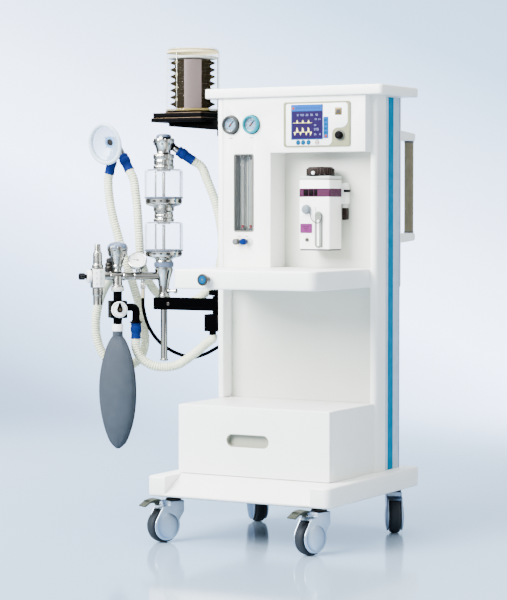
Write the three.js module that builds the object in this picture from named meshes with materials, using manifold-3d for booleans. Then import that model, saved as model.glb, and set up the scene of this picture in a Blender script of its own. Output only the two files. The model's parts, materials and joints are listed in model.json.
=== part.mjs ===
// A trolley-mounted anesthesia machine: white cabinet on four casters, monitor and flowmeter head,
// vaporizer, drawer, ventilator bellows, and a circle absorber on a swinging arm with its patient hoses.
// Units are millimetres, +Z is up and the front faces -Y. Every piece is placed from the centre of the
// base on the floor, and the finished machine is then moved so that the origin lies on the floor under
// the middle of its rigid parts.

import * as THREE from 'three';
import { mergeVertices } from 'three/addons/utils/BufferGeometryUtils.js';
import Module from 'manifold-3d';

// ---------------------------------------------------------------- driving dimensions
const gap = 0.3;                    // clearance between pieces that touch

const base = { width: 600, depth: 600, bottom: 135, top: 194, corner: 20, edge: 7 };
base.block = 62;                    // width of the raised block at each front corner
base.lip = 6;                       // height of the front edge under the sloping apron

const column = { half: 259, wall: 20, front: 80, back: 237, head: 44 };
column.inner = column.half - column.wall - gap;

const drawerUnit = { half: 250, front: -203, bottom: base.top + gap, top: 398, back: 212, wall: 8 };
const drawerFront = { thickness: 18, gap: 1.6 };
const fingerSlot = { x: -17, z: 300, width: 141, height: 38 };

const worktop = { half: 236, front: -265, bottom: 740, top: 796, corner: 26, back: 130 };
const shelf = { half: 299, front: 30, back: 286, bottom: 1305, top: 1334, corner: 12, edge: 4.5 };

const bay = { front: 94, sheet: 4 };            // panel behind the lower bay
const recess = { left: -77, back: 137, top: 1140 };
const headSheet = 4;

const monitor = { left: -30, right: 191, bottom: 1155, top: 1288, proud: 5, depth: 42 };
const encoder = { x: 158, z: 1188, radius: 12, proud: 15 };
const gauge = { radius: 28, proud: 13, z: 1225, x: [-212, -141] };
const flowmeter = { x: -168, width: 68, bottom: 903, top: 1137, proud: 3, depth: 38 };
const flowKnob = { x: [-185, -160], z: 873, radius: 10, proud: 26 };
const flush = { x: -117, z: 768, ring: 17, button: 11.5, proud: 24, travel: 5 };

const vaporizer = { x: 75, width: 103, corner: 5, front: 38, back: 114, bottom: 848, top: 1069 };
const dial = { radius: 43, y: 77, height: 27 };

const handle = { x: 246, y: 330, low: 884, high: 1192, bar: 14, bracket: 29 };

const caster = { inset: 60, wheel: 50, tread: 32, trail: 35, stemRadius: 12 };
caster.fork = { back: -23, roof: 121, shoulder: 109, nose: 52 };     // outline of the fork's cheeks
const pedal = { hinge: 51, tip: 110, half: 17 };
const casterTurns = { front_left: 245, front_right: 252, rear_left: 315, rear_right: 300 };

const bellows = { x: -388, y: 113, floor: 1272, roof: 1468, dome: 84, radius: 64, fold: 10, folds: 7 };
bellows.low = 1284;
bellows.high = 1432;

const arm = { pivotX: -304, y: 120, bottom: 657.5, top: 695.5, pin: 9, thickness: 40 };
const ventilatorPort = { x: -318, y: 114, radius: 11, end: 583 };     // spigots under the arm's pivot
const gasPort = { x: -286, y: 142, radius: 6, end: 585 };
const pole = { x: -498, y: arm.y, bottom: 497, radius: 10.5 };
const jar = { radius: 60, ring: 57, lowBase: 820, lowTop: 932, highBase: 984, highTop: 1096 };
jar.wall = 4;
jar.skirt = 19;                     // height of the chrome ring a jar stands on
jar.plug = 8;                       // how far a neck reaches down into the jar below it
const manifold = { z: 763, radius: 12.5, angle: 225 };      // runs forward and to the left of the pole
const along = { gasPort: 67, gauge: 80, valve: 148, relief: 211 };     // distances from the pole
const gasFitting = { bottom: 694, radius: 6 };
const dialGauge = { radius: 30, place: [-549, 46, 812], facing: [0.42, -0.74, 0.52] };
const relief = { bottom: 727, top: 788, half: 20, disc: 20, seat: 34 };
const selector = { top: 687, bottom: 633, half: 26, elbow: 58, cuffEnd: 568 };
const bag = { top: 583, bottom: 226, radius: 65, flat: 0.6, neck: 16, tail: 7 };
const hoseRadius = 14;
const gasHoseRadius = 5.5;
const cuffRadius = 17;

// ---------------------------------------------------------------- colours and finishes
const finish = (color, roughness, metalness = 0) =>
  new THREE.MeshStandardMaterial({ color, roughness, metalness });

const white = finish(0xeeeee9, 0.45);
const offWhite = finish(0xdfe1da, 0.5);
const beige = finish(0xc9cbb8, 0.5);
const black = finish(0x141414, 0.45);
const darkGrey = finish(0x3a3d40, 0.6);
const grey = finish(0x8f969a, 0.5);
const silver = finish(0xc4c9cf, 0.3, 0.6);
const chrome = finish(0xd8dade, 0.12, 1);
const bronze = finish(0x6d6658, 0.35, 0.8);
const turquoise = finish(0x35a9c2, 0.4);
const cyan = finish(0x1fb4d4, 0.35);
const blue = finish(0x1a4f9c, 0.45);
const glass = finish(0xe8eef0, 0.05);
const amber = finish(0x6b5a50, 0.1);
const rubber = finish(0x111113, 0.6);
const greyRubber = finish(0x7d8490, 0.7);
const hosePlastic = finish(0xe4e6dc, 0.4);
const brown = finish(0x3b2a26, 0.5);

// ---------------------------------------------------------------- solids and placing
const wasm = await Module();
wasm.setup();

function solid(geometry) {
  const bare = geometry.clone();
  bare.deleteAttribute('normal');
  bare.deleteAttribute('uv');
  const merged = mergeVertices(bare, 1e-4);
  return new wasm.Manifold(new wasm.Mesh({
    numProp: 3,
    vertProperties: new Float32Array(merged.attributes.position.array),
    triVerts: new Uint32Array(merged.index.array),
  }));
}

function geometryOf(body) {
  const mesh = body.getMesh();
  const geometry = new THREE.BufferGeometry();
  geometry.setAttribute('position', new THREE.BufferAttribute(new Float32Array(mesh.vertProperties), 3));
  geometry.setIndex(new THREE.BufferAttribute(new Uint32Array(mesh.triVerts), 1));
  geometry.computeVertexNormals();
  return geometry;
}

// One body made of all the shapes.
function join(...shapes) {
  return geometryOf(shapes.map(solid).reduce((sum, shape) => sum.add(shape)));
}

// The first shape with the others cut out of it.
function cut(shape, ...tools) {
  return geometryOf(tools.map(solid).reduce((left, tool) => left.subtract(tool), solid(shape)));
}

// A shape drawn flat and raised between two heights, with its edges rounded by bevel.
function raised(shape, low, high, bevel = 0, steps = 1) {
  const geometry = new THREE.ExtrudeGeometry(shape, {
    depth: high - low - 2 * bevel,
    curveSegments: 3,
    bevelEnabled: bevel > 0,
    bevelThickness: bevel,
    bevelSize: bevel,
    bevelOffset: -bevel,
    bevelSegments: steps,
  });
  return geometry.translate(0, 0, low + bevel);
}

// A shape drawn in Y and Z, extruded along X.
function acrossX(shape, low, high, bevel = 0) {
  const turn = new THREE.Matrix4().makeBasis(
    new THREE.Vector3(0, 1, 0), new THREE.Vector3(0, 0, 1), new THREE.Vector3(1, 0, 0));
  return raised(shape, low, high, bevel).applyMatrix4(turn);
}

// A shape drawn in X and Z, extruded from the near face at y = low to the far face at y = high.
function acrossY(shape, low, high, bevel = 0) {
  const turn = new THREE.Matrix4().makeBasis(
    new THREE.Vector3(1, 0, 0), new THREE.Vector3(0, 0, 1), new THREE.Vector3(0, -1, 0));
  return raised(shape, -high, -low, bevel).applyMatrix4(turn);
}

function rectangle(x0, y0, x1, y1, corner = 0) {
  const shape = new THREE.Shape();
  if (corner === 0) {
    return shape.moveTo(x0, y0).lineTo(x1, y0).lineTo(x1, y1).lineTo(x0, y1).closePath();
  }
  shape.moveTo(x0 + corner, y0);
  shape.lineTo(x1 - corner, y0).absarc(x1 - corner, y0 + corner, corner, -Math.PI / 2, 0);
  shape.lineTo(x1, y1 - corner).absarc(x1 - corner, y1 - corner, corner, 0, Math.PI / 2);
  shape.lineTo(x0 + corner, y1).absarc(x0 + corner, y1 - corner, corner, Math.PI / 2, Math.PI);
  shape.lineTo(x0, y0 + corner).absarc(x0 + corner, y0 + corner, corner, Math.PI, 1.5 * Math.PI);
  return shape;
}

function polygon(points) {
  return new THREE.Shape(points.map(([x, y]) => new THREE.Vector2(x, y)));
}

function box(x0, x1, y0, y1, z0, z1) {
  return new THREE.BoxGeometry(x1 - x0, y1 - y0, z1 - z0)
    .translate((x0 + x1) / 2, (y0 + y1) / 2, (z0 + z1) / 2);
}

// A profile of [radius, height] points turned about Z.
function turned(profile, sides = 16) {
  const points = profile.map(([radius, height]) => new THREE.Vector2(radius, height));
  return new THREE.LatheGeometry(points, sides).rotateX(Math.PI / 2);
}

function rod(radius, low, high, sides = 14) {
  return turned([[0, low], [radius, low], [radius, high], [0, high]], sides);
}

// Turns a shape built along +Z so that it points in a direction from a place.
function aim(geometry, direction, place) {
  const target = new THREE.Vector3(...direction).normalize();
  const turn = new THREE.Quaternion().setFromUnitVectors(new THREE.Vector3(0, 0, 1), target);
  return geometry.applyQuaternion(turn).translate(...place);
}

function tube(points, radius, sides, steps) {
  const curve = new THREE.CatmullRomCurve3(points.map((point) => new THREE.Vector3(...point)));
  const section = new THREE.Shape();
  for (let side = 0; side < sides; side += 1) {
    const angle = (2 * Math.PI * side) / sides;
    const corner = [radius * Math.cos(angle), radius * Math.sin(angle)];
    if (side === 0) section.moveTo(...corner);
    else section.lineTo(...corner);
  }
  section.closePath();
  return new THREE.ExtrudeGeometry(section, { steps, extrudePath: curve, bevelEnabled: false });
}

const machine = new THREE.Group();

function add(name, geometry, material, parent = machine) {
  const mesh = new THREE.Mesh(geometry, material);
  mesh.name = name;
  parent.add(mesh);
  return mesh;
}

// ---------------------------------------------------------------- base and casters
function basePlatform() {
  const { width, depth, bottom, top, corner, edge, block, lip } = base;
  const plan = rectangle(-width / 2, -depth / 2, width / 2, depth / 2, corner);
  const above = polygon([
    [drawerUnit.front - 4, top],
    [drawerUnit.front - 4, top + 5],
    [-depth / 2 - 5, top + 5],
    [-depth / 2 - 5, bottom + lip],
    [-depth / 2, bottom + lip],
  ]);
  return cut(raised(plan, bottom, top, edge), acrossX(above, block - width / 2, width / 2 - block));
}

// The fork is built with its stem at the origin and its wheel trailing along +X.
function casterFork() {
  const { wheel, tread, trail, stemRadius } = caster;
  const { back, roof, shoulder, nose } = caster.fork;
  const top = base.bottom - gap;
  const disc = wheel - 7;
  const cheek = new THREE.Shape();
  cheek.moveTo(back, roof);
  cheek.lineTo(-back + 3, roof);
  cheek.lineTo(-back + 3, shoulder);
  cheek.lineTo(nose, shoulder - 4);
  cheek.absarc(trail, wheel, disc, Math.PI / 5, -Math.PI / 2, true);
  cheek.absarc(trail, wheel, disc, -Math.PI / 2, -1.1 * Math.PI, true);
  cheek.lineTo(back, 88);
  cheek.closePath();
  const outer = tread / 2 + 8;
  const hood = acrossY(cheek, -outer, outer, 3);
  const room = aim(rod(wheel + 4, -tread / 2 - 2, tread / 2 + 2, 18), [0, 1, 0], [trail, 0, wheel]);
  const hub = aim(rod(11, -outer - 2, outer + 2, 12), [0, 1, 0], [trail, 0, wheel]);
  const race = turned([[0, 119], [23, 119], [23, 127], [stemRadius, 129], [stemRadius, top], [0, top]]);
  const axle = aim(rod(6, -outer - 1, outer + 1, 10), [0, 1, 0], [trail, 0, wheel]);
  const ears = [-1, 1].map((side) => box(50, 62, side * 12 - 3, side * 12 + 3, 98, 118));
  const shell = cut(join(hood, hub, race, ...ears), room);
  return join(shell, axle);
}

function casterWheel() {
  const { wheel, tread, trail } = caster;
  const half = tread / 2;
  const ring = [
    [6 + gap, -half + 3], [35, -half + 3], [38, -half], [wheel - 4, -half], [wheel, -half + 7],
    [wheel, half - 7], [wheel - 4, half], [38, half], [35, half - 3], [6 + gap, half - 3],
    [6 + gap, -half + 3],
  ];
  return aim(turned(ring, 20), [0, 1, 0], [trail, 0, wheel]);
}

function brakePedal() {
  const { hinge, tip, half } = pedal;
  const side = new THREE.Shape();
  side.moveTo(hinge, 121.4);
  side.lineTo(68, 124);
  side.quadraticCurveTo(88, 122, tip - 2, 108);
  side.lineTo(tip, 112);
  side.quadraticCurveTo(92, 128, 68, 130);
  side.lineTo(hinge, 127);
  const plate = acrossY(side, -half, half, 1.2);
  const lug = box(52, 60, -8.5, 8.5, 109, 123);
  return join(plate, lug);
}

function addCasters() {
  const reach = base.width / 2 - caster.inset;
  for (const [corner, degrees] of Object.entries(casterTurns)) {
    const group = new THREE.Group();
    const x = corner.endsWith('left') ? -reach : reach;
    const y = corner.startsWith('front') ? -reach - 8 : reach;
    group.position.set(x, y, 0);
    group.rotation.z = THREE.MathUtils.degToRad(degrees);
    machine.add(group);
    add(`caster_fork_${corner}`, casterFork(), silver, group);
    add(`caster_wheel_${corner}`, casterWheel(), darkGrey, group);
    if (corner.startsWith('front')) add(`brake_pedal_${corner}`, brakePedal(), grey, group);
  }
}

// ---------------------------------------------------------------- cabinet
function leftSidePanel() {
  const { half, wall, front, back, head } = column;
  const low = base.top + gap;
  const high = shelf.bottom - gap;
  const step = drawerUnit.top + gap;
  const outline = polygon([
    [front + gap, low], [back, low], [back, high], [head, high], [head, step], [front + gap, step],
  ]);
  return acrossX(outline, -half, wall - half, 3);
}

function rightSidePanel() {
  const { half, wall, front, back } = column;
  const corner = 14;
  const plan = new THREE.Shape();
  plan.moveTo(half - wall, front);
  plan.lineTo(half - corner, front);
  plan.absarc(half - corner, front + corner, corner, -Math.PI / 2, 0);
  plan.lineTo(half, back);
  plan.lineTo(half - wall, back);
  plan.closePath();
  return raised(plan, base.top + gap, shelf.bottom - gap);
}

// One bent sheet: up behind the lower bay, back under the worktop, up behind the recess.
function innerPanel() {
  const { front, sheet } = bay;
  const step = worktop.bottom - gap;
  const outline = polygon([
    [front, drawerUnit.top + gap], [front + sheet, drawerUnit.top + gap],
    [front + sheet, step - sheet], [recess.back + sheet, step - sheet],
    [recess.back + sheet, shelf.bottom - gap], [recess.back, shelf.bottom - gap],
    [recess.back, step], [front, step],
  ]);
  return acrossX(outline, -column.inner, column.inner);
}

function rearCover() {
  const { half, back, inner } = column;
  const high = shelf.bottom - gap;
  const plate = box(-inner, inner, back - 12, back + gap + 1, base.top + gap, high);
  const step = worktop.bottom + 2;
  const bulge = polygon([[back + gap, step - 9], [back + 9, step], [back + 9, high], [back + gap, high]]);
  return join(plate, acrossX(bulge, -half, half));
}

// The white head: gauge panel down the left side and monitor box across the top, open at the back.
function headHousing() {
  const low = worktop.top + gap;
  const high = shelf.bottom - gap;
  const { inner, head } = column;
  const back = recess.back - gap;
  const outline = (inset) => polygon([
    [-inner + inset, low + inset], [recess.left - inset, low + inset],
    [recess.left - inset, recess.top + inset], [inner - inset, recess.top + inset],
    [inner - inset, high - inset], [-inner + inset, high - inset],
  ]);
  const shell = acrossY(outline(0), head, back);
  const hollow = acrossY(outline(headSheet), head + headSheet, back + 1);
  const holes = gauge.x.map((x) => facing(rod(21, -20, 20), x, head, gauge.z));
  const knobHoles = flowKnob.x.map((x) => facing(rod(4, -20, 20, 10), x, head, flowKnob.z));
  const encoderHole = facing(rod(4.5, -20, 20, 10), encoder.x, head, encoder.z);
  const window = box(
    flowmeter.x - flowmeter.width / 2 + 3, flowmeter.x + flowmeter.width / 2 - 3,
    head - 9, head + 9, flowmeter.bottom + 3, flowmeter.top - 3);
  const screen = box(
    monitor.left + 4, monitor.right - 60, head - 9, head + 9, monitor.bottom + 4, monitor.top - 4);
  return cut(shell, hollow, ...holes, ...knobHoles, encoderHole, window, screen);
}

// Turns a shape built along +Z so that it points out of the front of the machine.
function facing(geometry, x, y, z) {
  return geometry.rotateX(Math.PI / 2).translate(x, y, z);
}

function topShelf() {
  const plan = rectangle(-shelf.half, shelf.front, shelf.half, shelf.back, shelf.corner);
  return raised(plan, shelf.bottom, shelf.top, shelf.edge, 2);
}

// The worktop runs back between the side panels; the flush valve's housing stands on its front.
function worktopSlab() {
  const { half, front, bottom, top, corner, back } = worktop;
  const plan = rectangle(-half, front, half, back, corner);
  const rear = rectangle(-column.inner, column.front, column.inner, back);
  const slab = join(raised(plan, bottom, top, 5), raised(rear, bottom, top));
  const { ring, proud, button } = flush;
  const housing = turned([
    [0, -2], [ring - 4, -2], [ring - 4, proud - 12], [ring, proud - 10], [ring, proud], [0, proud],
  ]);
  const bore = rod(button + 0.7, -12, proud + 5);
  return cut(
    join(slab, facing(housing, flush.x, front, flush.z)),
    facing(bore, flush.x, front, flush.z));
}

function flushButton() {
  const { button, proud } = flush;
  const shape = turned([
    [0, -5], [button - 4, -5], [button - 4, 4], [button, 6], [button, proud - 1], [button - 2, proud + 1],
    [0, proud + 1],
  ]);
  return facing(shape, flush.x, worktop.front, flush.z);
}

function drawerHousing() {
  const { half, front, bottom, top, back, wall } = drawerUnit;
  const face = front + drawerFront.thickness + gap;
  const outer = join(
    box(-half, half, face, column.front - gap, bottom, top),
    box(-column.inner, column.inner, column.front - 1, back, bottom, top));
  const room = box(
    -column.inner + wall, column.inner - wall, face - 1, back - wall, bottom + wall, top - wall);
  return cut(outer, room);
}

function drawer() {
  const { half, front, bottom, top, back, wall } = drawerUnit;
  const { thickness } = drawerFront;
  const plate = acrossY(
    rectangle(-half, bottom + drawerFront.gap, half, top - gap, 4), front, front + thickness, 3);
  const { x, z, width, height } = fingerSlot;
  const slot = acrossY(
    rectangle(x - width / 2, z - height / 2, x + width / 2, z + height / 2, height / 2 - 0.1),
    front - 1, front + thickness + 6);
  const side = column.inner - wall - 4;
  const tray = cut(
    box(-side, side, front + thickness - 1, back - wall - 12, bottom + wall + 3, top - wall - 30),
    box(-side + 3, side - 3, front + thickness + 4, back - wall - 15, bottom + wall + 6, top));
  return cut(join(plate, tray), slot);
}

function handleBracket(height) {
  const { x, y, bracket } = handle;
  const shape = new THREE.Shape();
  shape.moveTo(x - 20, column.back + 9 + gap);
  shape.lineTo(x + 13, column.back + 9 + gap);
  shape.lineTo(x + 19, y);
  shape.absarc(x, y, 19, 0, Math.PI);
  shape.closePath();
  return raised(shape, height - bracket / 2, height + bracket / 2, 4);
}

function handleBar() {
  const { x, y, low, high, bar, bracket } = handle;
  return rod(bar, low + bracket / 2 + gap, high - bracket / 2 - gap).translate(x, y, 0);
}

// ---------------------------------------------------------------- head instruments
function pressureGauge(x) {
  const { radius, proud, z } = gauge;
  const profile = [
    [0, -46], [6, -46], [6, -30], [20, -30], [20, -1], [20, gap], [radius - 2, gap], [radius, 3],
    [radius, proud - 2], [radius - 2, proud], [radius - 5, proud], [radius - 6, proud - 3],
    [0, proud - 3],
  ];
  return facing(turned(profile, 18), x, column.head, z);
}

// Window block with two glass tubes standing in its pocket.
function flowmeterBlock() {
  const { x, width, bottom, top, proud, depth } = flowmeter;
  const face = column.head - proud;
  const body = join(
    box(x - width / 2 + 4, x + width / 2 - 4, column.head - 1, face + depth, bottom + 4, top - 4),
    acrossY(rectangle(x - width / 2, bottom, x + width / 2, top, 6), face, column.head - gap));
  const pocket = box(
    x - width / 2 + 9, x + width / 2 - 9, face - 1, face + 26, bottom + 12, top - 12);
  const tubes = [-13, 13].map((side) =>
    rod(6, bottom + 8, top - 8, 10).translate(x + side, face + 14, 0));
  return join(cut(body, pocket), ...tubes);
}

function flowKnobShape(x) {
  const { z, radius, proud } = flowKnob;
  const profile = [
    [0, -22], [3, -22], [3, 2], [radius - 3, 3], [radius - 1, 8], [radius, 12], [radius, proud - 1],
    [radius - 1, proud], [0, proud],
  ];
  return facing(turned(profile, 14), x, column.head, z);
}

function monitorUnit() {
  const { left, right, bottom, top, proud, depth } = monitor;
  const face = column.head - proud;
  const bezel = acrossY(rectangle(left, bottom, right, top, 7), face, column.head - gap, 1.5);
  const chassis = box(left + 6, right - 62, column.head - 1, face + depth, bottom + 6, top - 6);
  const shaft = facing(rod(5.2, -1, proud + 2, 10), encoder.x, column.head, encoder.z);
  return cut(join(bezel, chassis), shaft);
}

function encoderKnob() {
  const { x, z, radius, proud } = encoder;
  const start = monitor.proud + gap;
  const profile = [
    [0, -14], [3.5, -14], [3.5, start], [radius, start], [radius - 0.5, proud + 4],
    [radius - 2, proud + 5], [0, proud + 5],
  ];
  return facing(turned(profile, 14), x, column.head, z);
}

// ---------------------------------------------------------------- vaporizer
function vaporizerBody() {
  const { x, width, front, back, bottom, top, corner } = vaporizer;
  const left = x - width / 2;
  const right = x + width / 2;
  const plan = new THREE.Shape();
  plan.moveTo(left + corner, front);
  plan.lineTo(right - corner, front);
  plan.quadraticCurveTo(right, front, right, front + corner);
  plan.lineTo(right, back);
  plan.lineTo(left, back);
  plan.lineTo(left, front + corner);
  plan.quadraticCurveTo(left, front, left + corner, front);
  const block = raised(plan, bottom, top - gap, 2);
  const rail = box(left + 6, right + 16, back - 2, recess.back - gap, top - 82, top - 20);
  const ports = box(x - 22, x + 22, back - 8, recess.back - gap, bottom + 90, top - 40);
  const keySlot = box(x + 6, x + 20, front - 4, front + 10, bottom + 12, bottom + 104);
  return join(block, rail, ports, keySlot);
}

function vaporizerDial() {
  const { top } = vaporizer;
  const { radius, height } = dial;
  const ridges = 24;
  const rim = new THREE.Shape();
  for (let step = 0; step < ridges * 2; step += 1) {
    const angle = (Math.PI * step) / ridges;
    const reach = step % 2 === 0 ? radius : radius - 1.8;
    const corner = [reach * Math.cos(angle), reach * Math.sin(angle)];
    if (step === 0) rim.moveTo(...corner);
    else rim.lineTo(...corner);
  }
  rim.closePath();
  const crown = rod(radius - 6, top + height - 6, top + height, 18);
  return join(raised(rim, top, top + height - 4), crown).translate(vaporizer.x, dial.y, 0);
}

// Release lever on the right of the vaporizer's mounting rail.
function lockLever() {
  const y = vaporizer.back + 2;
  const x = vaporizer.x + vaporizer.width / 2 + 16 + gap;
  const z = vaporizer.top - 44;
  const side = rectangle(y - 22, z - 6, y + 12, z + 6, 5);
  const pin = aim(rod(8, 0, 5, 12), [1, 0, 0], [x, y + 4, z]);
  return join(acrossX(side, x, x + 8, 1.2), pin);
}

function fillerCap() {
  const { x, front, bottom } = vaporizer;
  const profile = [[0, gap], [13, gap], [15, 3], [15, 12], [12, 15], [0, 15]];
  return facing(turned(profile, 14), x - 24, front, bottom + 122);
}

// ---------------------------------------------------------------- ventilator bellows
function bellowsBase() {
  const { x, y, floor, dome } = bellows;
  const half = dome + 3;
  const block = raised(rectangle(x - half, y - half, x + half, y + half, 12), floor - 23, floor - 6, 2);
  const lip = raised(
    rectangle(x - half - 5, y - half - 5, x + half + 5, y + half + 5, 10), floor - 32, floor - 22);
  const seat = rod(dome + 0.5, floor - 8, floor, 26).translate(x, y, 0);
  const centre = rod(bellows.radius - 14, floor - 2, bellows.low - gap, 18).translate(x, y, 0);
  const gusset = polygon([
    [x - 62, floor - 31], [x - 62, floor - 46], [-column.half - gap, floor - 62],
    [-column.half - gap, floor - 31],
  ]);
  const bracket = acrossY(gusset, y - 42, y + 42);
  const flange = box(-column.half - gap - 8, -column.half - gap, y - 60, y + 60, floor - 80, floor - 30);
  return join(block, lip, seat, centre, bracket, flange);
}

function bellowsDome() {
  const { x, y, floor, roof, dome } = bellows;
  const wall = 3;
  const low = floor + gap;
  const profile = [
    [dome - wall, low], [dome, low], [dome, roof - 16], [dome - 5, roof - 5], [dome - 16, roof],
    [0, roof], [0, roof - wall], [dome - 17, roof - wall], [dome - wall - 4, roof - 8],
    [dome - wall, roof - 17], [dome - wall, low],
  ];
  return turned(profile, 26).translate(x, y, 0);
}

function bellowsStack() {
  const { x, y, low, high, radius, fold, folds } = bellows;
  const pitch = (high - low) / folds;
  const profile = [[0, low], [radius - fold, low]];
  for (let step = 0; step < folds; step += 1) {
    profile.push([radius, low + pitch * (step + 0.5)]);
    profile.push([radius - fold, low + pitch * (step + 1)]);
  }
  profile.push([0, high]);
  return turned(profile, 16).translate(x, y, 0);
}

function bellowsDisc() {
  const { x, y, high, radius } = bellows;
  const low = high + gap;
  return turned([[0, low], [radius - 8, low], [radius - 6, low + 3], [radius - 8, low + 9], [0, low + 9]])
    .translate(x, y, 0);
}

// ---------------------------------------------------------------- absorber arm and canisters
// Two lugs on the cabinet's side hold the arm's pivot pin; two hoses end under the lower one.
function armPost() {
  const { pivotX, y, bottom, top } = arm;
  const wall = -column.half - gap;
  const plate = box(wall - 8, wall, y - 48, y + 48, bottom - 68, top + 34);
  const low = raised(rectangle(pivotX - 30, y - 36, wall - 4, y + 36, 8), bottom - 62, bottom - 10);
  const high = raised(rectangle(pivotX - 19, y - 24, wall - 4, y + 24, 6), top + 10, top + 26);
  const pin = rod(arm.pin, bottom - 12, top + 12, 12).translate(pivotX, y, 0);
  const spigots = [ventilatorPort, gasPort].map((port) =>
    rod(port.radius, port.end, bottom - 60, 12).translate(port.x, port.y, 0));
  return join(plate, low, high, pin, ...spigots);
}

function absorberArm() {
  const { pivotX, y, bottom, top, pin, thickness } = arm;
  const half = thickness / 2;
  const plan = new THREE.Shape();
  plan.moveTo(pole.x - 27, y - half);
  plan.lineTo(pivotX, y - half);
  plan.absarc(pivotX, y, half, -Math.PI / 2, Math.PI / 2);
  plan.lineTo(pole.x - 27, y + half);
  plan.closePath();
  const bar = raised(plan, bottom, top, 1.5);
  const pinHole = rod(pin + 1, bottom - 9, top + 9, 12).translate(pivotX, y, 0);
  const collar = rod(16, bottom - 8, top + 8, 14).translate(pivotX, y, 0);
  const poleHole = rod(pole.radius + gap, bottom - 1, top + 1, 14).translate(pole.x, pole.y, 0);
  return cut(join(bar, collar), pinHole, poleHole);
}

// Chrome pole through the arm, its taper, bulb and the lower jar's ring, with the drain tap.
function absorberStem() {
  const { bottom, radius } = pole;
  const seat = arm.top + gap;
  const profile = [
    [0, bottom], [radius + 2.5, bottom], [radius + 2.5, bottom + 3], [radius, bottom + 8],
    [radius, seat], [18, seat], [18, seat + 6], [15.5, seat + 14], [16.5, 730], [20, 752],
    [28, 778], [30, 786], [30, 806], [26, 815], [34, 819], [47, jar.lowBase], [jar.ring, 828],
    [jar.ring, jar.lowBase + jar.skirt], [0, jar.lowBase + jar.skirt],
  ];
  const body = turned(profile, 20).translate(pole.x, pole.y, 0);
  const centreRod = rod(5, jar.lowBase + jar.skirt - 1, jar.lowTop - jar.plug - 1, 10)
    .translate(pole.x, pole.y, 0);
  const tap = aim(rod(4, 12, 44, 12), [1, 0, 0], [pole.x, pole.y, 716]);
  const thumb = aim(rod(8, 40, 46, 10), [1, 0, 0], [pole.x, pole.y, 716]);
  const socket = aim(rod(manifold.radius + gap, 14, 60), heading(), [pole.x, pole.y, manifold.z]);
  return cut(join(body, centreRod, tap, thumb), socket);
}

// A glass jar, open below, with a hole in its lid for the centre rod.
function jarGlass(low, high) {
  const { radius, wall } = jar;
  const profile = [
    [radius - wall, low], [radius, low], [radius, high - 10], [radius - 3, high - 3],
    [radius - 10, high], [22, high], [22, high - wall], [radius - 12, high - wall],
    [radius - wall, high - 12], [radius - wall, low],
  ];
  return turned(profile, 20).translate(pole.x, pole.y, 0);
}

// Chrome neck between the jars, with the upper jar's ring and centre rod.
function canisterNeck() {
  const low = jar.lowTop + gap;
  const profile = [
    [0, low - jar.plug], [21, low - jar.plug], [21, low], [32, low], [32, low + 10], [29, low + 12],
    [29, 962], [32, 966], [32, 976], [47, jar.highBase - 2], [jar.ring, jar.highBase + 5],
    [jar.ring, jar.highBase + jar.skirt], [0, jar.highBase + jar.skirt],
  ];
  const body = turned(profile, 20).translate(pole.x, pole.y, 0);
  const centreRod = rod(5, jar.highBase + jar.skirt - 1, jar.highTop - jar.plug - 1, 10);
  return join(body, centreRod.translate(pole.x, pole.y, 0));
}

// Valve on the upper jar, its side port and the soft cuff of the hose on that port.
function topValve() {
  const low = jar.highTop + gap;
  const profile = [
    [0, low - jar.plug], [21, low - jar.plug], [21, low], [32, low], [32, low + 12], [30, low + 14],
    [30, 1126], [32, 1130], [32, 1142], [22, 1146], [24, 1158], [31, 1174], [33, 1184], [32, 1191],
    [24, 1193], [22, 1201], [16, 1205], [0, 1206],
  ];
  const body = turned(profile, 18).translate(pole.x, pole.y, 0);
  const { place, direction } = topPort;
  const neck = aim(rod(11, -34, 12, 12), direction, place);
  const cuff = aim(cuffShape(), direction, place);
  return join(body, neck, cuff);
}

// A hose cuff, open towards its hose.
function cuffShape(length = 64) {
  return turned([
    [0, 6], [cuffRadius - 2, 6], [cuffRadius, 10], [cuffRadius, 26], [cuffRadius - 2, 29],
    [cuffRadius - 1, length], [0, length],
  ], 12);
}

// ---------------------------------------------------------------- manifold and its valves
function heading() {
  const angle = THREE.MathUtils.degToRad(manifold.angle);
  return [Math.cos(angle), Math.sin(angle), 0];
}

// A place on the manifold's axis, a distance from the pole.
function onManifold(distance, z = manifold.z) {
  const [x, y] = heading();
  return [pole.x + x * distance, pole.y + y * distance, z];
}

// The machine's pipe with its tee down to the selector and its relief block at the end.
function manifoldPipe() {
  const { radius } = manifold;
  const pipe = aim(rod(radius, 14 + gap, along.relief - relief.half), heading(), onManifold(0));
  const [x, y] = onManifold(along.valve);
  const tee = turned([
    [0, selector.top + 32], [19, selector.top + 32], [19, selector.top + 46], [15.5, selector.top + 50],
    [15.5, manifold.z], [0, manifold.z],
  ], 14).translate(x, y, 0);
  const connector = rod(14, selector.top + gap, selector.top + 34).translate(x, y, 0);
  const [gx, gy] = onManifold(along.gasPort);
  const low = gasFitting.bottom + gap;
  const inlet = turned([
    [0, low], [6, low], [6, low + 28], [9, low + 32], [9, low + 47], [6, low + 51], [6, manifold.z],
    [0, manifold.z],
  ], 10).translate(gx, gy, 0);
  return join(pipe, tee, connector, inlet);
}

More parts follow.
